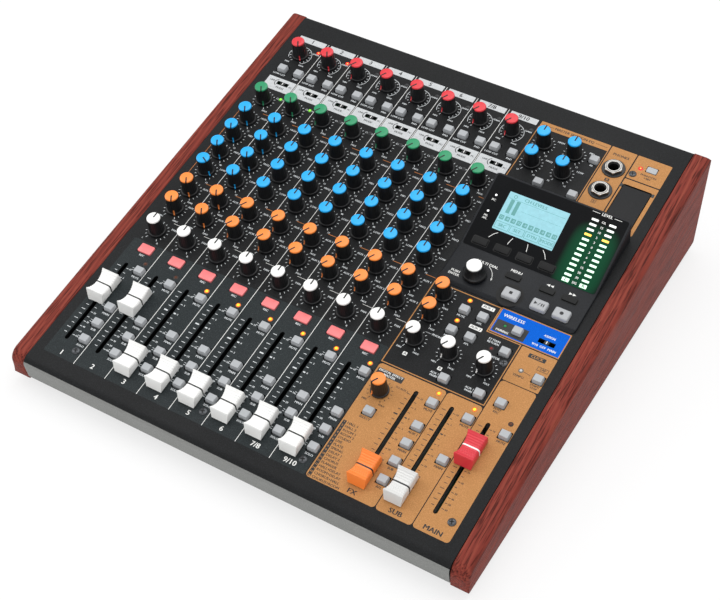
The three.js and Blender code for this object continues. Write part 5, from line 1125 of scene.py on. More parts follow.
# White ink on the shelf of the hood: the names of the menu key and the dial, two triangles behind
# each of the winding keys, and two arcs with arrowheads that show which ways the dial turns.
SHELF_PRINT = 1.95
DIAL_ARC = 11.6
shelf_print = [
    words("MENU", BAR_KEYS["menu"], 209.0, 1.9, height=SHELF_PRINT),
    words("MULTI DIAL", 77.0, 206.2, 1.9, height=SHELF_PRINT),
    words("PUSH\nENTER", 60.6, 190.6, 1.7, height=SHELF_PRINT),
]
for key_x, way in ((BAR_KEYS["rewind"], -1), (BAR_KEYS["forward"], 1)):
    triangle = np.array([(1.3 * way, 0), (-1.1 * way, -way), (-1.1 * way, way)])
    for dx in (-1.3, 1.3):
        shelf_print.append(printed(triangle + (key_x + dx, 208.9), SHELF_PRINT))
for start, end, steps, way in ((62, 8, 10, 275), (118, 140, 6, 235)):
    path = arc(JOG_PLACE[:2], DIAL_ARC, start, end, steps)
    turn = np.radians([way, way + 130, way + 230])
    head = np.array([[1.3], [0.9], [0.9]]) * np.stack([np.cos(turn), np.sin(turn)], -1)
    shelf_print.append(stroke(path, 0.35, height=SHELF_PRINT))
    shelf_print.append(printed(path[-1] + head, SHELF_PRINT))
build("shelf_print", shelf_print, [print_white], "console")

# Jog dial: a black ABS rim with fine flutes round its waist, moulded, and a white cap with a dish
# for the fingertip, pressed into its top. It turns on the jog shaft, which presses in.
DIAL_RINGS = [
    (0.0, 8.0, 0), (0.2, 8.2, 0), (1.5, 8.2, 0), (1.9, 8.0, 0), (2.2, 7.6, 0), (2.5, 7.45, 0.26),
    (8.2, 5.75, 0.26), (8.5, 5.65, 0), (8.8, 5.45, 0), (8.95, 5.1, 0), (9.0, 4.6, 0),
]
DIAL_CAP = [(5.2, 8.85), (5.2, 9.5), (5.05, 9.72), (4.7, 9.8), (4.2, 9.75), (2.6, 9.45), (1.0, 9.3),
            (0.3, 9.28)]
DIAL_FLUTES = 30
DIAL_AROUND = 120
# The cap is smooth dyed ABS, the brightest plain white on the deck.
dial_white = moulded("white_dial_cap", "#F3F3F1", 0.36)
jog_dial = [fluted(DIAL_RINGS, DIAL_FLUTES, DIAL_AROUND), lathe(DIAL_CAP, 48, finish=1)]
build("jog_dial_knob", [moved(part, JOG_PLACE) for part in jog_dial], [black_abs, dial_white],
      "jog_dial", ["jog_dial"])

# Printed areas of the deck, laid on the powder coat as thin inked films with every punched hole
# left open: a slate ground under the strips' faders, gold and blue grounds in the master section,
# and white bands behind the strips' numbers and mode switches.
FILM = 0.03
DIVIDER = 14.2
STRIP_EDGES = STRIP_COLUMNS + DIVIDER
STRIP_LEFT = -151.6
MASTER_LEFT = 51.9
MASTER_RIGHT = 151.3
GROUND_FRONT = 14.0
GROUND_REAR = 339.3
GOLD_GROUNDS = [
    (MASTER_LEFT, 100.5, GROUND_FRONT, 106.9, 2.4), (101.1, 125.9, GROUND_FRONT, 106.9, 2.4),
    (126.5, MASTER_RIGHT, GROUND_FRONT, 130.4, 2.4), (126.5, MASTER_RIGHT, 131.0, 159.4, 0.8),
    (106.3, 125.2, 271.0, GROUND_REAR, 0.8), (126.1, MASTER_RIGHT, 317.2, GROUND_REAR, 0.8),
    (126.1, MASTER_RIGHT, 271.0, 316.2, 0.8), (MASTER_LEFT, 105.4, 333.3, GROUND_REAR, 0.8),
]


def inside(point, path):
    """True where a line from the point to the right crosses the closed path an odd number of times."""
    x, y = point
    (x0, y0), (x1, y1) = path.T, np.roll(path, -1, 0).T
    spans = (y0 > y) != (y1 > y)
    with np.errstate(divide="ignore", invalid="ignore"):
        cross = x0 + (y - y0) / (y1 - y0) * (x1 - x0)
    return np.count_nonzero(spans & (x < cross)) % 2 == 1


def film(path, finish=0):
    """An inked film: the closed path as a thin sheet, with the holes that lie inside it."""
    own = [hole for hole in holes if all(inside(point, path) for point in hole[::2])]
    points, faces, _ = punched(path, own, FILM, FILM)
    return points, faces, [finish] * len(faces)


def ground(left, right, front, rear, corner=1.2):
    """A rectangle between four edges with small round corners."""
    middle = ((left + right) / 2, (front + rear) / 2)
    return oblong(*middle, right - left, rear - front, corner, 24)


# The inks follow the powder coat under them, so its orange peel and specks show through.
slate_ink = powder_coat("slate_ink", "#1A2022", "#30383A", 0.62, 0.25)
gold_ink = powder_coat("gold_ink", "#AE7B46", "#C88F5A", 0.6, 0.25)
blue_ink = powder_coat("blue_ink", "#005AC4", "#0266DC", 0.6, 0.2, 0.08)
white_ink = powder_coat("white_ink", "#BCBFC1", "#D6D8D9", 0.55, 0.2)
grounds = [film(ground(STRIP_LEFT, STRIP_EDGES[7] - 0.1, GROUND_FRONT, 119.4))]
grounds += [film(ground(*edges), 1) for edges in GOLD_GROUNDS]
grounds.append(film(ground(102.3, MASTER_RIGHT - 0.6, 161.0, 179.9, 0.5), 2))
for i, x in enumerate(STRIP_COLUMNS):
    left = x - (9.1 if i else 10.6)
    grounds.append(film(ground(left, x + 12.5, 333.6, 338.9, 0.3), 3))
    grounds.append(film(ground(max(x - 10.6, -150.7), x + 13.4, 281.0, 293.2, 0.3), 3))
build("deck_grounds", grounds, [slate_ink, gold_ink, blue_ink, white_ink], "console")

# Thin printed lines: dividers between the strips, lines over and under the equaliser and the aux
# sends, and gold outlines round the aux master and wireless areas and beside the master equaliser.
EQ_REAR = 256.9
EQ_FRONT = 181.8
ROW_LINES = ((EQ_REAR, 0.32, 1), (EQ_FRONT, 0.32, 1), (141.4, 0.28, 0))
CLEAR = 6.8
# Thin orange ink that the black under it dulls.
orange_ink = powder_coat("orange_ink", "#C97A3C", "#E0945A", 0.5)
thin = [stroke([(x, GROUND_FRONT), (x, 339.0)], 0.4) for x in STRIP_EDGES[:7]]
for y, width, finish in ROW_LINES:
    thin += [stroke([(x + CLEAR, y), (x + PITCH - CLEAR, y)], width, finish) for x in COLUMNS[:7]]
    thin.append(stroke([(COLUMNS[7] + CLEAR, y), (STRIP_EDGES[7], y)], width, finish))
left_edge = [(-151.8, EQ_FRONT), (-151.8, EQ_REAR), (COLUMNS[0] - CLEAR, EQ_REAR)]
thin.append(stroke(left_edge, 0.32, 1))
aux_outline = [(51.9, 108.3), (125.3, 108.3), (125.3, 159.2), (101.0, 159.2), (101.0, 179.6),
               (51.9, 179.6)]
wireless_outline = [(101.9, 160.6), (150.9, 160.6), (150.9, 180.3), (101.9, 180.3)]
for outline in (aux_outline, wireless_outline):
    thin.append(stroke(outline, 0.7, 2, close=True))
for x in (MASTER_LEFT, 105.2):
    thin.append(stroke([(x, 271.0), (x, 334.0)], 0.6, 2))
build("thin_lines", thin, [print_white, orange_ink, gold_ink], "console")

# Dials round the knobs, in grey screened ink, and in black on the gold ground: fifteen ticks over
# the knob's sweep, a fine ring round the gain controls, and a mark at either end. Each row's short
# name stands right of its knobs.
DIAL_TICKS = 15
# Matt inks with hardly any relief, so that small letters stay sharp.
print_grey = moulded("grey_print", "#D0D4D6", 0.5, bump=0.02)
print_black = moulded("black_print", "#08090A", 0.5, bump=0.02)
END_MARKS = {"eq": ("15", "15"), "pan": ("L", "R"), "eq_mid_frequency": ("100", "8k")}


def dial_print(x, y, marks, finish=0, ring=False):
    """Ticks between two radii at even steps of the sweep, longer at both ends and the middle."""
    made = []
    for i, turn in enumerate(np.radians(np.linspace(-SWEEP, SWEEP, DIAL_TICKS))):
        way = np.array([math.sin(turn), math.cos(turn)])
        near = 6.9 if ring else 7.3
        reach = 8.2 if ring else 9.0 if i in (0, DIAL_TICKS // 2, DIAL_TICKS - 1) else 8.5
        made.append(stroke([way * near + (x, y), way * reach + (x, y)], 0.42, finish))
    if ring:
        made.append(stroke(arc((x, y), 8.9, 210, -60, 40), 0.38, finish))
    for side, mark in zip((-1, 1), marks):
        made.append(words(mark, x + side * 6.2, y - 9.3, 1.25, finish))
    return made


dial_parts = []
for row, y in KNOB_ROWS.items():
    marks = END_MARKS.get(row) or END_MARKS.get(row.split("_")[0]) or ("MIN", "MAX")
    for x in STRIP_COLUMNS:
        dial_parts += dial_print(x, y, marks, ring=row == "gain")
for name, (x, y) in MASTER_KNOBS.items():
    marks = ("15", "15") if name.startswith("master") else ("MIN", "MAX")
    dial_parts += dial_print(x, y, marks, 1 if name == "effect" else 0)
ROW_WORDS = {
    "gain": "GAIN", "compressor": "COMP", "eq_high": "HIGH", "eq_mid_gain": "MID",
    "eq_mid_frequency": "FREQ", "eq_low": "LOW", "aux_first": "AUX 1", "aux_second": "AUX 2",
    "pan": "PAN",
}
for row, y in KNOB_ROWS.items():
    dial_parts += [words(ROW_WORDS[row], x + 10.4, y + 5.6, 1.35) for x in STRIP_COLUMNS]
build("dial_prints", dial_parts, [print_grey, print_black], "console")

# Words and numbers on the strips, and the scales beside the faders: white and grey ink on the
# black and the slate, and black ink on the white bands.
STRIP_NAMES = ("1", "2", "3", "4", "5", "6", "7/8", "9/10")
SCALE_STEPS = 16
SCALE_REAR = 94.3
SCALE_PITCH = 4.1
UNITY_STEP = 4
SCALE_NUMBERS = {
    0: "10", 2: "5", 4: "0", 6: "5", 8: "10", 10: "20", 12: "30", 13: "40", 14: "50", 15: "60",
}


def fader_scale(x, finish):
    """Ticks on both sides of a slot at even steps, the one for unity bold, and their numbers."""
    made = []
    for step in range(SCALE_STEPS):
        y = SCALE_REAR - SCALE_PITCH * step
        bold = 0.95 if step == UNITY_STEP else 0.42
        made.append(stroke([(x - (5.6 if step % 2 == 0 else 4.8), y), (x - 2.7, y)], bold, finish))
        made.append(stroke([(x + 2.2, y), (x + 3.9, y)], bold, finish))
        if step in SCALE_NUMBERS:
            made.append(words(SCALE_NUMBERS[step], x + 5.3, y, 1.15, finish))
    return made


strip_words = []
for i, (x, number) in enumerate(zip(STRIP_COLUMNS, STRIP_NAMES)):
    strip_words.append(words(number, x + 1.6, 17.8, 3.3, bold=0.04))
    strip_words.append(words(number, x + 1.6, 336.2, 3.1, 2, bold=0.04))
    for name, (dx, y) in STRIP_KEYS.items():
        strip_words.append(words(name.replace("_", " ").upper(), x + dx, y - 5.5, 1.4, 1))
        for dy in (0.9, -0.6) if y < 110 else ():
            strip_words.append(stroke([(x + dx - 6.4, y + dy), (x + dx - 4.9, y + dy)], 0.3, 1))
    strip_words.append(words("REC", x + RECORD_KEY[0], RECORD_KEY[1] - 5.8, 1.4, 1))
    strip_words += fader_scale(STRIP_FADERS[i], 1)
    slot_x, slot_y = x + MODE_SWITCH[0], MODE_SWITCH[1]
    strip_words.append(stroke(arc((slot_x - 3.4, slot_y), 3.2, 112, 248, 8), 0.55, 2))
    strip_words.append(words("LINE", slot_x - 9.3, slot_y + 0.8, 1.3, 2))
    strip_words.append(words("PC", slot_x + 7.2, slot_y - 1.2, 1.4, 2))
    strip_words.append(words("MODE", slot_x, slot_y - 4.6, 1.5, 2))
build("strip_words", strip_words, [print_white, print_grey, print_black], "console")

# Words in the master section: black ink on the gold grounds, white on black and blue, and small
# labels as filled plates. The effect list runs down beside its black column of numbers.
WHITE, GREY, BLACK, GOLD = range(4)
PLATE_LOW = 0.02
PLATE_HIGH = 0.055
ON_PLATE = 0.075
LABELS = [
    ("DIGITAL EFFECT\nMASTER", 62.4, 100.9, 18.8, 4.9, WHITE, BLACK, 1.5),
    ("AUX 1", 93.5, 175.9, 9.0, 2.9, BLACK, WHITE, 1.6),
    ("AUX 2", 93.5, 158.0, 9.0, 2.9, BLACK, WHITE, 1.6),
    ("A", 62.4, 119.9, 3.0, 2.8, BLACK, WHITE, 1.6), ("B", 87.8, 119.9, 3.0, 2.8, BLACK, WHITE, 1.6),
    ("CLICK", 139.1, 154.9, 12.0, 3.2, GOLD, BLACK, 1.9),
    ("B", 115.6, 309.4, 3.2, 2.8, GOLD, BLACK, 1.7),
]
MASTER_WORDS = {
    BLACK: [
        ("SELECT", 63.8, 66.1, 1.5), ("TO AUX 1", 74.2, 95.2, 1.25), ("TAP", 146.3, 148.3, 1.5),
        ("TEMPO", 134.4, 137.4, 1.5), ("START/\nSTOP", 147.0, 134.3, 1.25),
        ("POST\nREC", 134.2, 108.4, 1.4), ("MASTER SECTION EQ", 78.4, 336.3, 2.0),
        ("PHONES", 115.6, 333.0, 2.0), ("A", 115.6, 287.9, 1.6), ("PHANTOM\n+48V", 139.9, 322.9, 1.5),
    ],
    GREY: [
        ("MUTE", 80.4, 162.2, 1.4), ("AFL", 93.8, 162.2, 1.4), ("MUTE", 80.4, 144.3, 1.4),
        ("AFL", 93.8, 144.3, 1.4), ("ST MAIN\nRETURN", 108.8, 153.8, 1.4),
        ("PHONES", 75.1, 140.9, 1.4), ("MONITOR", 113.2, 143.0, 1.4),
        ("AUX 1\nMAIN", 86.6, 114.4, 1.35), ("AUX 1\nMAIN", 111.6, 114.4, 1.35),
        ("IN", 100.5, 316.2, 1.4), ("REC", 100.5, 280.7, 1.4), ("USE", 74.6, 280.7, 1.4),
    ],
    WHITE: [
        ("WIRELESS", 112.4, 175.7, 2.2), ("ASSIGN", 139.2, 172.9, 1.5),
        ("9/10  OFF  MAIN", 139.2, 163.9, 1.5),
    ],
}
FADER_KEY_WORDS = {
    94.8: ("MUTE", "MUTE", "MUTE"), 75.7: ("AUX 1",), 61.8: ("MAIN", "MAIN"), 47.6: ("SUB",),
    33.1: ("AFL",),
}
FRAMES = ((142.6, 150.0, 146.9, 149.7), (114.1, 117.1, 286.6, 289.2))
EFFECT_LIST = (
    "HALL 1", "HALL 2", "ROOM 1", "ROOM 2", "STUDIO", "LIVE", "PLATE", "SPRING", "DELAY 1", "DELAY 2",
    "CHORUS", "FLANGER", "HALL+DELAY", "ROOM+DELAY", "CHORUS+HALL", "CHORUS+ROOM",
)
LIST_REAR = 58.2
LIST_PITCH = 2.85
LIST_COLUMN = 54.0
label_parts = []
for text, x, y, width, depth, ink, ground_ink, size in LABELS:
    label_parts.append(plate(x, y, width, depth, PLATE_LOW, PLATE_HIGH, 0.4, ground_ink, 12))
    label_parts.append(words(text, x, y, size, ink, ON_PLATE))
for ink, lines in MASTER_WORDS.items():
    label_parts += [words(*line, ink) for line in lines]
for text, x in (("FX", 83.2), ("SUB", 113.5), ("MAIN", 139.0)):
    label_parts.append(words(text, x, 17.4, 3.0, BLACK, wide=1.1, bold=0.06))
for y, texts in FADER_KEY_WORDS.items():
    label_parts += [words(text, x, y - 5.6, 1.5, BLACK) for x, text in zip(FADER_KEYS, texts)]
for (x, y), text in zip(list(MASTER_KNOBS.values())[:4], ("HIGH", "MID", "FREQ", "LOW")):
    label_parts.append(words(text, x + 10.6, y + 6.6, 1.35, GREY))
for x in MASTER_FADERS:
    label_parts += fader_scale(x, BLACK)
label_parts.append(plate(LIST_COLUMN, 37.0, 2.4, 44.6, PLATE_LOW, PLATE_HIGH, 0.2, BLACK, 8))
for i, text in enumerate(EFFECT_LIST):
    y = LIST_REAR - LIST_PITCH * i
    label_parts.append(words(str(i + 1), LIST_COLUMN, y, 1.25, GOLD, ON_PLATE))
    label_parts.append(words(text, LIST_COLUMN + 2, y, 1.6, BLACK, align="LEFT"))
label_parts.append(plate(114.2, 166.6, 22.4, 9.6, PLATE_LOW, 0.05, 0.4, BLACK))
label_parts.append(words("PAIRING", 109.6, 163.5, 1.5, WHITE, ON_PLATE))
for left, right, front, rear in FRAMES:
    corners = [(left, front), (right, front), (right, rear), (left, rear)]
    label_parts.append(stroke(corners, 0.3, BLACK, close=True))
for x in (66.0, 79.8):
    label_parts.append(stroke([(x, 140.9), (x + 4.4, 140.9)], 0.25, GREY))
for x in (53.4, 94.6):
    label_parts.append(stroke([(x, 336.3), (x + 9.0, 336.3)], 0.3, BLACK))
label_parts.append(stroke([(136.2, 141.8), (141.0, 141.2)], 0.3, BLACK))
build("master_words", label_parts, [print_white, print_grey, print_black, gold_ink], "console")

# Lamps of the deck: small domes with a soft rim of their own light. Red by the gain controls of
# the two strips in use, green by their compressors, amber by the mute keys of the idle ones.
# Lit lamps show a bright core in a rim of deeper colour. Unlit ones are dark tinted domes.
lamp_looks = {
    "amber": (lamp("lamp_amber", "#FFD42A", 1.7, "#C86A10"), lamp("rim_amber", "#FF7E0A", 0.8, "#5A2606")),
    "red": (lamp("lamp_red", "#FF3A12", 20.0, "#A01810"), lamp("rim_red", "#F0061A", 0.85, "#4A0A08")),
    "green": (lamp("lamp_green", "#9CFF3A", 1.3, "#2E8A1C"), lamp("rim_green", "#1E8A1E", 0.4, "#123A10")),
    "brown": (moulded("unlit_amber_lamp", "#5A2C10", 0.3), moulded("unlit_amber_rim", "#2A1408", 0.5)),
    "dark": (moulded("unlit_grey_lamp", "#2E3032", 0.3), moulded("unlit_grey_rim", "#17181A", 0.5)),
    "dim_green": (
        lamp("lamp_dim_green", "#1E9A50", 0.5, "#0E5A2C"), moulded("dim_green_rim", "#0A1C10", 0.5),
    ),
    "dim_red": (lamp("lamp_dim_red", "#8A1A14", 0.5, "#5A120C"), moulded("dim_red_rim", "#200806", 0.5)),
    "clear": (moulded("clear_lamp", "#C9CDD0", 0.2), moulded("clear_rim", "#6A6258", 0.4)),
}
gain_lamps = [(x + 11.5, 327.9) for x in STRIP_COLUMNS]
compressor_lamps = [(x + 11.0, 274.7) for x in STRIP_COLUMNS]
mute_lamps = [(x + 9.4, 103.1) for x in STRIP_COLUMNS]
lamp_places = {
    "amber": mute_lamps[2:] + [(96.4, 103.2), (121.7, 103.0), (80.1, 175.7), (80.0, 157.9)],
    "red": gain_lamps[:2] + [(132.1, 328.7)],
    "green": compressor_lamps[:2],
    "brown": mute_lamps[:2] + [(146.5, 103.8)],
    "dark": gain_lamps[2:] + compressor_lamps[2:],
    "dim_green": [(109.7, 167.9)],
    "dim_red": [(109.8, 148.4)],
    "clear": [(134.2, 141.9)],
}
for look, places in lamp_places.items():
    core = 0.62 if look == "red" else 1.0
    parts = [dome(x, y, core, 0.8, 0.06) for x, y in places]
    parts += [lathe([(1.75, 0.03), (1.6, 0.1), (core, 0.3)], 20, (x, y, 0), 1) for x, y in places]
    build(f"{look}_lamps", parts, list(lamp_looks[look]), "console")

# Pan-head screws of blackened steel that hold the panel down: turned heads with a cross recess,
# which is painted as two dark lines of shade.
SCREWS = ((COLUMNS[0] + 9.6, 23.0), (COLUMNS[4] + 9.6, 23.0), (COLUMNS[7] + 8.2, 22.8),
          (146.4, 27.5), (129.2, 321.8), (121.9, 142.0))
HEAD_PROFILE = [(2.75, 0.0), (2.7, 0.35), (2.2, 0.75), (1.2, 0.95), (0.4, 1.0)]
# Blackened steel is a dark metal with a blurred reflection.
screw_black = moulded("blackened_steel_screw", "#515356", 0.34, Metallic=0.8)


def pan_head(x, y, around, turn, reach, width):
    """A turned head, and two lines of painted shade for its recess that cross at a right angle, the
    first turned anticlockwise by the given angle."""
    parts = [lathe(HEAD_PROFILE, around, (x, y, 0))]
    for angle in (turn, turn + math.pi / 2):
        way = np.array([math.cos(angle), math.sin(angle)]) * reach
        parts.append(stroke([(x, y) - way, (x, y) + way], width, 1, 1.03))
    return parts


screw_parts = [part for x, y in SCREWS for part in pan_head(x, y, 24, 0.4, 1.5, 0.7)]
build("panel_screws", screw_parts, [screw_black, painted_shade_black], "console")

# Phones sockets: a black flange, a bright hexagon nut with turned-down corners, and a barrel whose
# bore runs down into the body. The brass parts are turned and nickel-plated.
FLANGE = [(8.3, 0.05), (8.3, 0.5), (8.0, 0.8), (5.0, 0.8), (5.0, 0.05)]
BARREL = [(5.1, 0.0), (5.1, 2.9), (4.85, 3.2), (4.35, 3.2), (4.1, 2.9), (4.1, 0.0)]
BORE = [(5.3, -11.5), (5.3, 0.6), (4.12, 2.3), (3.5, 1.6), (3.5, -11.0)]
BORE_FLOOR = [(5.3, -11.6), (3.4, -11.0), (1.0, -11.0)]
NUT_FLAT = 6.35
NUT_AROUND = 72
# Nickel plate mirrors the white surroundings in its flats. The bore takes light and gives none.
chrome = moulded("nickel_plated_brass", "#A9A7A3", 0.2, Metallic=1.0)
bore_black = moulded("bore_black", "#060607", 0.6)


def hollow(rings, finish=0):
    """A body closed both ways round: quads between neighbouring rings, the last joined to the
    first."""
    rings = np.asarray(rings, float)
    count, around = rings.shape[:2]
    faces = skin(count, around, close_rows=True, close_columns=True)
    return rings.reshape(-1, 3), faces, [finish] * len(faces)


def tube(profile, around, place=(0, 0, 0), finish=0):
    """A turned ring from a closed (radius, z) outline."""
    radius, height = np.array(profile, float).T
    return hollow(turned(radius, height, around) + np.asarray(place, float), finish)


def hexagon_nut(x, y, low=0.8, high=3.0, size=1.0):
    """Outer rings follow the smaller of a hexagon, a / cos(angle from the flat's middle), and a
    circle that shrinks over the last part of the height. The hole is round."""
    turn = np.linspace(0, 2 * math.pi, NUT_AROUND, endpoint=False)
    flat = size * NUT_FLAT / np.cos((turn + 0.2) % (math.pi / 3) - math.pi / 6)
    outer = ((low, 7.0), (low + 0.25, 7.4), (high - 0.65, 7.4), (high - 0.25, 6.9), (high, 6.3))
    inner = ((high, 5.35), (high - 0.3, 5.1), (low, 5.1))
    radii = [np.minimum(flat, size * limit) for _, limit in outer]
    radii += [np.full(NUT_AROUND, radius) for _, radius in inner]
    heights = [height for height, _ in outer + inner]
    return hollow(turned(radii, heights, NUT_AROUND) + (x, y, 0), 1)


socket_parts = []
for x, y in PHONES:
    socket_parts += [
        tube(FLANGE, 48, (x, y, 0)), hexagon_nut(x, y, size=0.93), tube(BARREL, 40, (x, y, 0), 1),
        tube(BORE, 40, (x, y, 0), 2), lathe(BORE_FLOOR, 24, (x, y, 0), 2),
    ]
build("phones_sockets", socket_parts, [black_abs, chrome, bore_black], "console")

# Card door: a thin black lid with round corners and a thumb hollow, shown as a ring of painted
# shade, on a knuckle along its rear edge that turns on two pins.
DOOR_AXIS = (309.5, -1.2)
DOOR_STEPS = [(-1.3, 0.1), (-1.1, 0.0), (0.1, 0.0), (0.3, 0.22)]
KNUCKLE = 1.45
door_length = DOOR_AXIS[0] - DOOR_FRONT
door_place = (DOOR_X, DOOR_FRONT + door_length / 2, 0)
door_plate = stacked(DOOR_WIDTH, door_length, DOOR_STEPS, door_place, 1.6, 40)
door_sides = (DOOR_X - DOOR_WIDTH / 2, DOOR_X + DOOR_WIDTH / 2)
knuckle = along_x(circle(*DOOR_AXIS, KNUCKLE, 24), *door_sides)
thumb_edge = arc((DOOR_X - 4.6, DOOR_FRONT + 6.2), 3.6, 0, 350, 30)
# The ring is painted shade round the thumb hollow; the lid itself stays flat.
thumb_shade = stroke(thumb_edge, 0.35, 1, 0.315, close=True)
# The lid has a fine matt grain and is a little duller than the sheet round it.
door_black = powder_coat("black_door_abs", "#0A0B0D", "#1A1C1F", 0.5, 0.2)
build("card_door_lid", [door_plate, knuckle, thumb_shade], [door_black, painted_shade_black], "card_door",
      ["card_door"])

# Control board under the master section: green glass-fibre laminate on which stand the pots that
# carry the knobs, the switches under the keys, the folded steel fader frames and the card socket.
BOARD_LOW = -15.6
BOARD_TOP = -14.0
SWITCH_TOP = -8.7
POT_TOP = -5.2
FRAME_TOP = -3.2
BUSHING = 3.15
COLLAR = [(4.6, POT_TOP), (4.6, -1.9), (BUSHING, -1.9), (BUSHING, POT_TOP)]
CARD_SOCKET = (DOOR_X, 292.0)


def solder_mask():
    """Green solder mask: two crossed sets of fine bands, broken up by noise, show the copper
    tracks under it as paler lines about 1.5 mm apart."""
    material = bpy.data.materials.new("green_solder_mask")
    tree = emptied(material)
    spot = add(tree, "ShaderNodeTexCoord")
    tracks = []
    for way, offset in (("X", 11.0), ("Y", 37.0)):
        lines = add(tree, "ShaderNodeTexWave", {"bands_direction": way}, {"Scale": 105.0, "Distortion": 0.0},
                    {"Vector": spot.outputs["Object"]})
        where = add(tree, "ShaderNodeTexNoise", {"noise_dimensions": "4D"}, {"Scale": 90.0, "W": offset},
                    {"Vector": spot.outputs["Object"]})
        thin_line = add(tree, "ShaderNodeMapRange", values={1: 0.8, 2: 0.95}, links={0: lines.outputs[1]})
        here = add(tree, "ShaderNodeMapRange", values={1: 0.5, 2: 0.56}, links={0: where.outputs[0]})
        tracks.append(add(tree, "ShaderNodeMath", {"operation": "MULTIPLY"},
                          links={0: thin_line.outputs[0], 1: here.outputs[0]}))
    either = add(tree, "ShaderNodeMath", {"operation": "MAXIMUM"},
                 links={0: tracks[0].outputs[0], 1: tracks[1].outputs[0]})
    colour = add(tree, "ShaderNodeMix", {"data_type": "RGBA"}, {6: linear("#0E3B22"), 7: linear("#2B6B3F")},
                 {0: either.outputs[0]})
    relief = add(tree, "ShaderNodeBump", values={"Strength": 0.3, "Distance": 0.0001},
                 links={"Height": either.outputs[0]})
    shader = add(tree, "ShaderNodeBsdfPrincipled", values={"Roughness": 0.35},
                 links={"Base Color": colour.outputs[2], "Normal": relief.outputs[0]})
    add(tree, "ShaderNodeOutputMaterial", links={"Surface": shader.outputs[0]})
    return material


def frame_of(plan_out, plan_in, low, high, finish):
    """A wall between two plans with as many points each: up the outer plan, over, and down the
    inner one."""
    rings = [np.column_stack([plan, np.full(len(plan), z)])
             for plan, z in ((plan_out, low), (plan_out, high), (plan_in, high), (plan_in, low))]
    return hollow(np.array(rings), finish)


board_green = solder_mask()
# Tin plate is an even pale grey, and black ABS is used for the switches.
tin_plate = powder_coat("tin_plated_steel", "#8E9092", "#A9ABAD", 0.38, 0.1)
board_parts = [plate(101.3, 173.5, 100.6, 317.0, BOARD_LOW, BOARD_TOP, 2.0, 0, 24)]
for x, y in MASTER_KNOBS.values():
    pot = rounded(10.5, 12.0, 0.6, 24) + (x, y)
    board_parts.append(frame_of(pot, circle(x, y, BUSHING, 24), BOARD_TOP, POT_TOP, 1))
    board_parts.append(tube(COLLAR, 24, (x, y, 0), 1))
switch_places = [*MASTER_KEYS, SELECT_KEY, MAIN_MUTE, PHANTOM_KEY]
switch_places += [(x, TRANSPORT_Y) for x in TRANSPORT.values()]
for x, y in switch_places:
    walls = oblong(x, y, 6.4, 6.4), oblong(x, y, 3.7, 3.7)
    board_parts.append(frame_of(*walls, BOARD_TOP, SWITCH_TOP, 2))
for x in MASTER_FADERS:
    walls = oblong(x, FADER_MIDDLE, 9.0, 76.0), oblong(x, FADER_MIDDLE, 7.4, 74.0)
    board_parts.append(frame_of(*walls, BOARD_TOP, FRAME_TOP, 1))
for x, y in PHONES:
    board_parts.append(plate(x, y, 12.0, 12.0, BOARD_TOP, -11.7, 0.6, 2))
walls = oblong(*CARD_SOCKET, 19.6, 6.2), oblong(*CARD_SOCKET, 16.0, 2.6)
board_parts.append(frame_of(*walls, BOARD_TOP, -9.6, 1))
for side in (-1, 1):
    ear_place = (DOOR_X + side * 11.6, DOOR_AXIS[0])
    board_parts.append(plate(*ear_place, 1.8, 3.0, BOARD_TOP, 0.1, 0.3, 2))
build("master_control_board", board_parts, [board_green, tin_plate, black_abs], "console",
      ["master_board"])

# The boards under the strips, green and black glass-fibre laminate with their switches and fader
# frames, and the jog dial's turned steel shaft. Their shapes come straight from the frame.
# Black solder mask hides its tracks and is smoother than powder coat.
black_laminate = powder_coat("black_solder_mask", "#070809", "#101213", 0.45, 0.1)
laminate_nodes = {"channel_board": board_green, "fader_board": black_laminate, "jog_shaft": bright_steel}
for node, finish in laminate_nodes.items():
    for place in frame["nodes"][node].material_slots:
        place.material = finish

# Bottom tray and rear panel: folded sheet steel, powder-coated in a plainer black than the top,
# with their shapes straight from the frame. Seven pan-head screws stand along the panel's foot.
# The plainer coat is a shade lighter and less speckled than the top's.
case_coat = powder_coat("black_case_coat", "#0E0F11", "#26282B", 0.5)
for node in ("bottom_tray", "rear_panel"):
    for place in frame["nodes"][node].material_slots:
        place.material = case_coat


def upright(points):
    """Level millimetres to row metres."""
    return np.asarray(points, float) / 1000


REAR_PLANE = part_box("rear_panel")[1][1] * 1000
MICROPHONE_ROW = 60.0
LINE_ROW = 30.0


def on_rear(part):
    """The same part laid on the rear panel: its first coordinate runs to the left seen from the
    front, its second runs up and its third stands out to the rear."""
    right, up, out = np.asarray(part[0], float).T
    return np.stack([-right, REAR_PLANE + out, up], -1), part[1], part[2]


SCREW_UP = 14.0
# Their cross recesses are painted shade as well.
rear_screws = []
for x in np.linspace(-150, 150, 7):
    rear_screws += pan_head(x, SCREW_UP, 20, -math.pi / 4, 0.95 * math.sqrt(2), 0.55)
build("rear_panel_screws", [on_rear(part) for part in rear_screws], [screw_black, painted_shade_black],
      "console", to_row=upright)

# Input board: eight microphone sockets with a black insert and three sprung contacts in a ring
# groove, over eight line sockets, each held to the rear panel by a nickel nut.
CONTACT_CIRCLE = 4.4
CONTACT_TURNS = np.radians([-90, 30, 150])
CONTACT_TUBE = [(1.3, -7.0), (1.3, 0.45), (0.95, 0.45), (0.95, -7.0)]
MICROPHONE_SHELL = [
    (10.6, -6.0), (10.6, 0.85), (10.25, 1.2), (9.85, 1.2), (9.5, 0.85), (9.5, -8.8), (7.0, -8.8),
    (7.0, -9.6), (9.9, -9.6), (9.9, -6.0),
]
MICROPHONE_WALL = [(7.7, -9.2), (7.7, 0.7), (7.55, 0.8), (7.0, 0.8), (7.0, -9.2)]
LINE_BARREL = [(5.1, -0.2), (5.1, 2.2), (4.85, 2.5), (4.4, 2.5), (4.1, 2.2), (4.1, -0.2)]
LINE_BORE = [(5.3, -10.8), (5.3, 0.2), (4.12, 1.6), (3.5, 1.0), (3.5, -10.4)]
REAR_BOARD = (-19.1, -17.5)


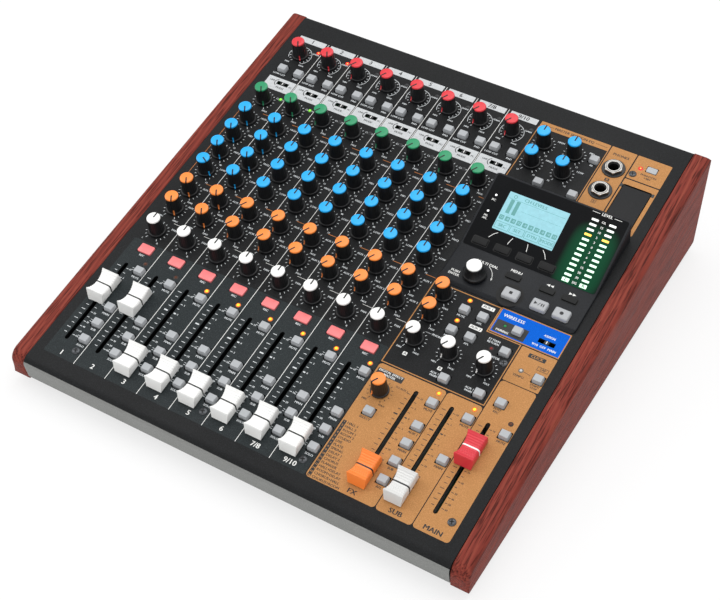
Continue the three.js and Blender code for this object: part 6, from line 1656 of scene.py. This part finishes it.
def contacts(x, y):
    """Three places on a circle, the first at the bottom."""
    return [(x + CONTACT_CIRCLE * math.cos(a), y + CONTACT_CIRCLE * math.sin(a)) for a in CONTACT_TURNS]


def microphone_socket(x, y):
    """A turned shell with a ring groove, a disc with three holes on a turned wall, a sprung tube
    in each hole and a latch at the top."""
    place = (x, y, 0)
    shell = tube(MICROPHONE_SHELL, 48, place)
    wall = tube(MICROPHONE_WALL, 40, place)
    pin_holes = [circle(*hole, 1.3, 14) for hole in contacts(x, y)]
    face = punched(circle(x, y, 7.0, 40), pin_holes, 0.8, 1.0)
    latch = stacked(4.2, 2.0, [(-3.0, 0), (0.8, 0), (1.1, 0.3)], (x, y + 8.6, 0), 0.4, 12)
    parts = [shell, wall, face, latch]
    for hole_x, hole_y in contacts(x, y):
        parts.append(tube(CONTACT_TUBE, 14, (hole_x, hole_y, 0), 1))
        parts.append(lathe([(1.3, -7.3), (1.3, -6.9)], 14, (hole_x, hole_y, 0), 2))
    return parts


def line_socket(x, y):
    """A barrel through the panel under a hexagon nut, and a dark bore."""
    barrel = tube(LINE_BARREL, 40, (x, y, 0), 1)
    bore = tube(LINE_BORE, 32, (x, y, 0), 2)
    floor_disc = lathe([(5.3, -11.2), (3.4, -10.4), (1.0, -10.4)], 24, (x, y, 0), 2)
    return [barrel, bore, floor_disc, hexagon_nut(x, y, 0.3, 2.5)]


rear_finishes = [black_abs, chrome, bore_black, board_green]
input_parts = [part for x in -STRIP_COLUMNS for part in microphone_socket(x, MICROPHONE_ROW)]
input_parts += [part for x in -STRIP_COLUMNS for part in line_socket(x, LINE_ROW)]
input_parts.append(plate(51.9, 41.9, 199.0, 62.2, *REAR_BOARD, 1.0, 3))
build("input_connectors", [on_rear(part) for part in input_parts], rear_finishes, "console",
      ["input_board"], to_row=upright)

# Output board: two balanced outputs with three pins in a cup, four line outputs, a computer
# socket with its tongue, the power inlet and the frame in which the power rocker tips.
OUTPUT_PINS = (66.0, 91.4)
OUTPUT_LINES = (70.0, 88.0, 106.0, 124.0)
INLET = (-116.0, 57.0)
COMPUTER_SOCKET = (-141.0, 30.0)
ROCKER = (-139.0, 57.0)
OUTPUT_CUP = [
    (10.6, -6.0), (10.6, 0.85), (10.25, 1.2), (8.8, 1.2), (8.4, 0.85), (8.4, -13.6), (10.0, -13.6),
    (10.0, -6.0),
]
OUTPUT_PIN = [(1.2, -13.7), (1.2, -1.9), (0.95, -1.5), (0.5, -1.35)]


def balanced_output(x, y):
    """A turned cup with a floor, and three round-ended pins that stand in it."""
    place = (x, y, 0)
    pins = [lathe(OUTPUT_PIN, 16, (*pin, 0), 1) for pin in contacts(x, y)]
    return [tube(OUTPUT_CUP, 48, place), lathe([(8.7, -14.2), (8.7, -13.6)], 32, place, 2), *pins]


def square_mouth(x, y, outer, mouth, depth, finish=0):
    """A plate with a square mouth, the walls behind it and their floor."""
    rim, faces, _ = punched(oblong(x, y, *outer, 0.6), [oblong(x, y, *mouth, 0.5)], 1.2, 1.5)
    behind = (mouth[0] + 1, mouth[1] + 1)
    walls = frame_of(oblong(x, y, *behind), oblong(x, y, *mouth), -depth, -0.3, finish)
    back = plate(x, y, *behind, -depth - 0.6, -depth, 0.4, 2)
    return [(rim, faces, [finish] * len(faces)), walls, back]


output_parts = [part for x in OUTPUT_PINS for part in balanced_output(-x, MICROPHONE_ROW)]
output_parts += [part for x in OUTPUT_LINES for part in line_socket(-x, LINE_ROW)]
output_parts += square_mouth(*COMPUTER_SOCKET, (12.0, 10.8), (8.6, 7.8), 7.8, 1)
tongue = [(-7.8, 0), (0.5, 0), (0.7, 0.2)]
output_parts.append(stacked(5.6, 3.2, tongue, (*COMPUTER_SOCKET, 0), 0.3, 12))
output_parts += square_mouth(*ROCKER, (13.8, 20.8), (9.8, 16.8), 8.0)
inlet_place = (*INLET, 0)
output_parts += [
    punched(oblong(*INLET, 10, 10, 0.8), [circle(*INLET, 3.2, 32)], 1.2, 1.5),
    tube([(3.8, -7.8), (3.8, -0.25), (3.2, -0.25), (3.2, -7.8)], 32, inlet_place, 2),
    lathe([(3.8, -8.4), (3.8, -7.8)], 24, inlet_place, 2),
    lathe([(0.9, -7.9), (0.9, -2.4), (0.7, -2.1), (0.3, -2.0)], 16, inlet_place, 1),
    plate(-101.2, 41.9, 91.4, 62.2, *REAR_BOARD, 1.0, 3),
]
build("output_connectors", [on_rear(part) for part in output_parts], rear_finishes, "console",
      ["output_board"], to_row=upright)

# White ink on the rear panel: a plain name by each socket, screened over or under its row, and by
# the power inlet and the rocker.
MICROPHONE_NAMES = 46.0
LINE_NAMES = 40.6
rear_names = []
for x, name in zip(STRIP_COLUMNS, STRIP_NAMES):
    rear_names += [(f"MIC {name}", -x, MICROPHONE_NAMES), (f"LINE {name}", -x, LINE_NAMES)]
for x, side in zip(OUTPUT_PINS, "LR"):
    rear_names.append((f"MAIN OUT {side}", -x, MICROPHONE_NAMES))
for x, name in zip(OUTPUT_LINES, ("SUB L", "SUB R", "AUX 1", "AUX 2")):
    rear_names.append((name, -x, LINE_NAMES))
rear_names += [("DC IN", INLET[0], 66.0), ("POWER", ROCKER[0], 71.4)]
rear_print = [words(*name, 1.8) for name in rear_names]
rear_print.append(words("COMPUTER", COMPUTER_SOCKET[0], 38.8, 1.7))
build("rear_panel_print", [on_rear(part) for part in rear_print], [print_white], "console",
      to_row=upright)

# Power rocker: a black ABS rocker with a shallow hollow front, moulded with a line and a ring,
# that tips on two pins in its frame.
ROCKER_JOINT = next(joint for joint in frame["joints"] if joint["name"] == "power_rocker_tip")
ROCKER_PLACE = np.array(ROCKER_JOINT["pos_m"]) * 1000
ROCKER_TILT = math.radians(7)
ROCKER_HALF = 7.5


def rocker_front(up):
    """The hollow front: its height over the pins is low + rise (up / half length)^2."""
    return 2.0 + 0.9 * (np.asarray(up, float) / ROCKER_HALF) ** 2


def tipped(part):
    """The same part with its front out to the rear, tipped about the pins."""
    right, up, out = np.asarray(part[0], float).T
    y = out * math.cos(ROCKER_TILT) - up * math.sin(ROCKER_TILT)
    z = out * math.sin(ROCKER_TILT) + up * math.cos(ROCKER_TILT)
    return np.stack([-right, y, z], -1) + ROCKER_PLACE, part[1], part[2]


rocker_up = np.linspace(-ROCKER_HALF, ROCKER_HALF, 17)
rocker_outline = np.concatenate([
    np.column_stack([rocker_up, rocker_front(rocker_up)]),
    [(ROCKER_HALF, -1.2), (0, -4.4), (-ROCKER_HALF, -1.2)],
])
rocker_rings = []
for x, inset in ((-4.5, 0.25), (-4.25, 0.0), (4.25, 0.0), (4.5, 0.25)):
    shrunk = rocker_outline * (1 - inset / ROCKER_HALF) - (0, inset / 3)
    rocker_rings.append(np.column_stack([np.full(len(shrunk), x), shrunk]))
rocker_body = loft(np.array(rocker_rings)[::-1])
marks = [stroke([(0, 2.6), (0, 5.4)], 0.5, 1), stroke(circle(0, -4.0, 1.25, 20), 0.45, 1, close=True)]
for points, _, _ in marks:
    points[:, 2] = rocker_front(points[:, 1]) + 0.03
pin, pin_faces, pin_finish = lathe([(1.2, -5.9), (1.2, 5.9)], 16)
rocker_parts = [rocker_body, *marks, (pin[:, [2, 0, 1]], pin_faces, pin_finish)]
build("power_rocker_cap", [tipped(part) for part in rocker_parts], [black_abs, print_white],
      "power_rocker", ["power_rocker"], to_row=upright)

# Rubber feet: moulded in black rubber, drawn in towards the floor, each held by a countersunk
# screw in its hollow sole.
FOOT_PROFILE = [(2.4, 2.6), (2.5, 0.3), (2.9, 0.0), (6.4, 0.0), (6.95, 0.25), (7.25, 1.0), (7.95, 8.3)]
FOOT_SCREW = [(1.9, 1.9), (2.3, 2.2), (2.3, 2.62)]
# Rubber takes the light evenly and gives no highlight.
foot_rubber = moulded("black_rubber", "#161617", 0.75, grain_mm=0.5, bump=0.2, spread=0.15)
for name in ("front_left", "front_right", "rear_left", "rear_right"):
    low, high = np.array(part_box(f"foot_{name}")) * 1000
    middle = (*((low + high) / 2)[:2], 0)
    foot = lathe([*FOOT_PROFILE, (7.85, high[2])], 40, middle)
    build(f"{name}_rubber_foot", [foot, lathe(FOOT_SCREW, 20, middle, 1)],
          [foot_rubber, screw_black], "console", [f"foot_{name}"], to_row=upright)
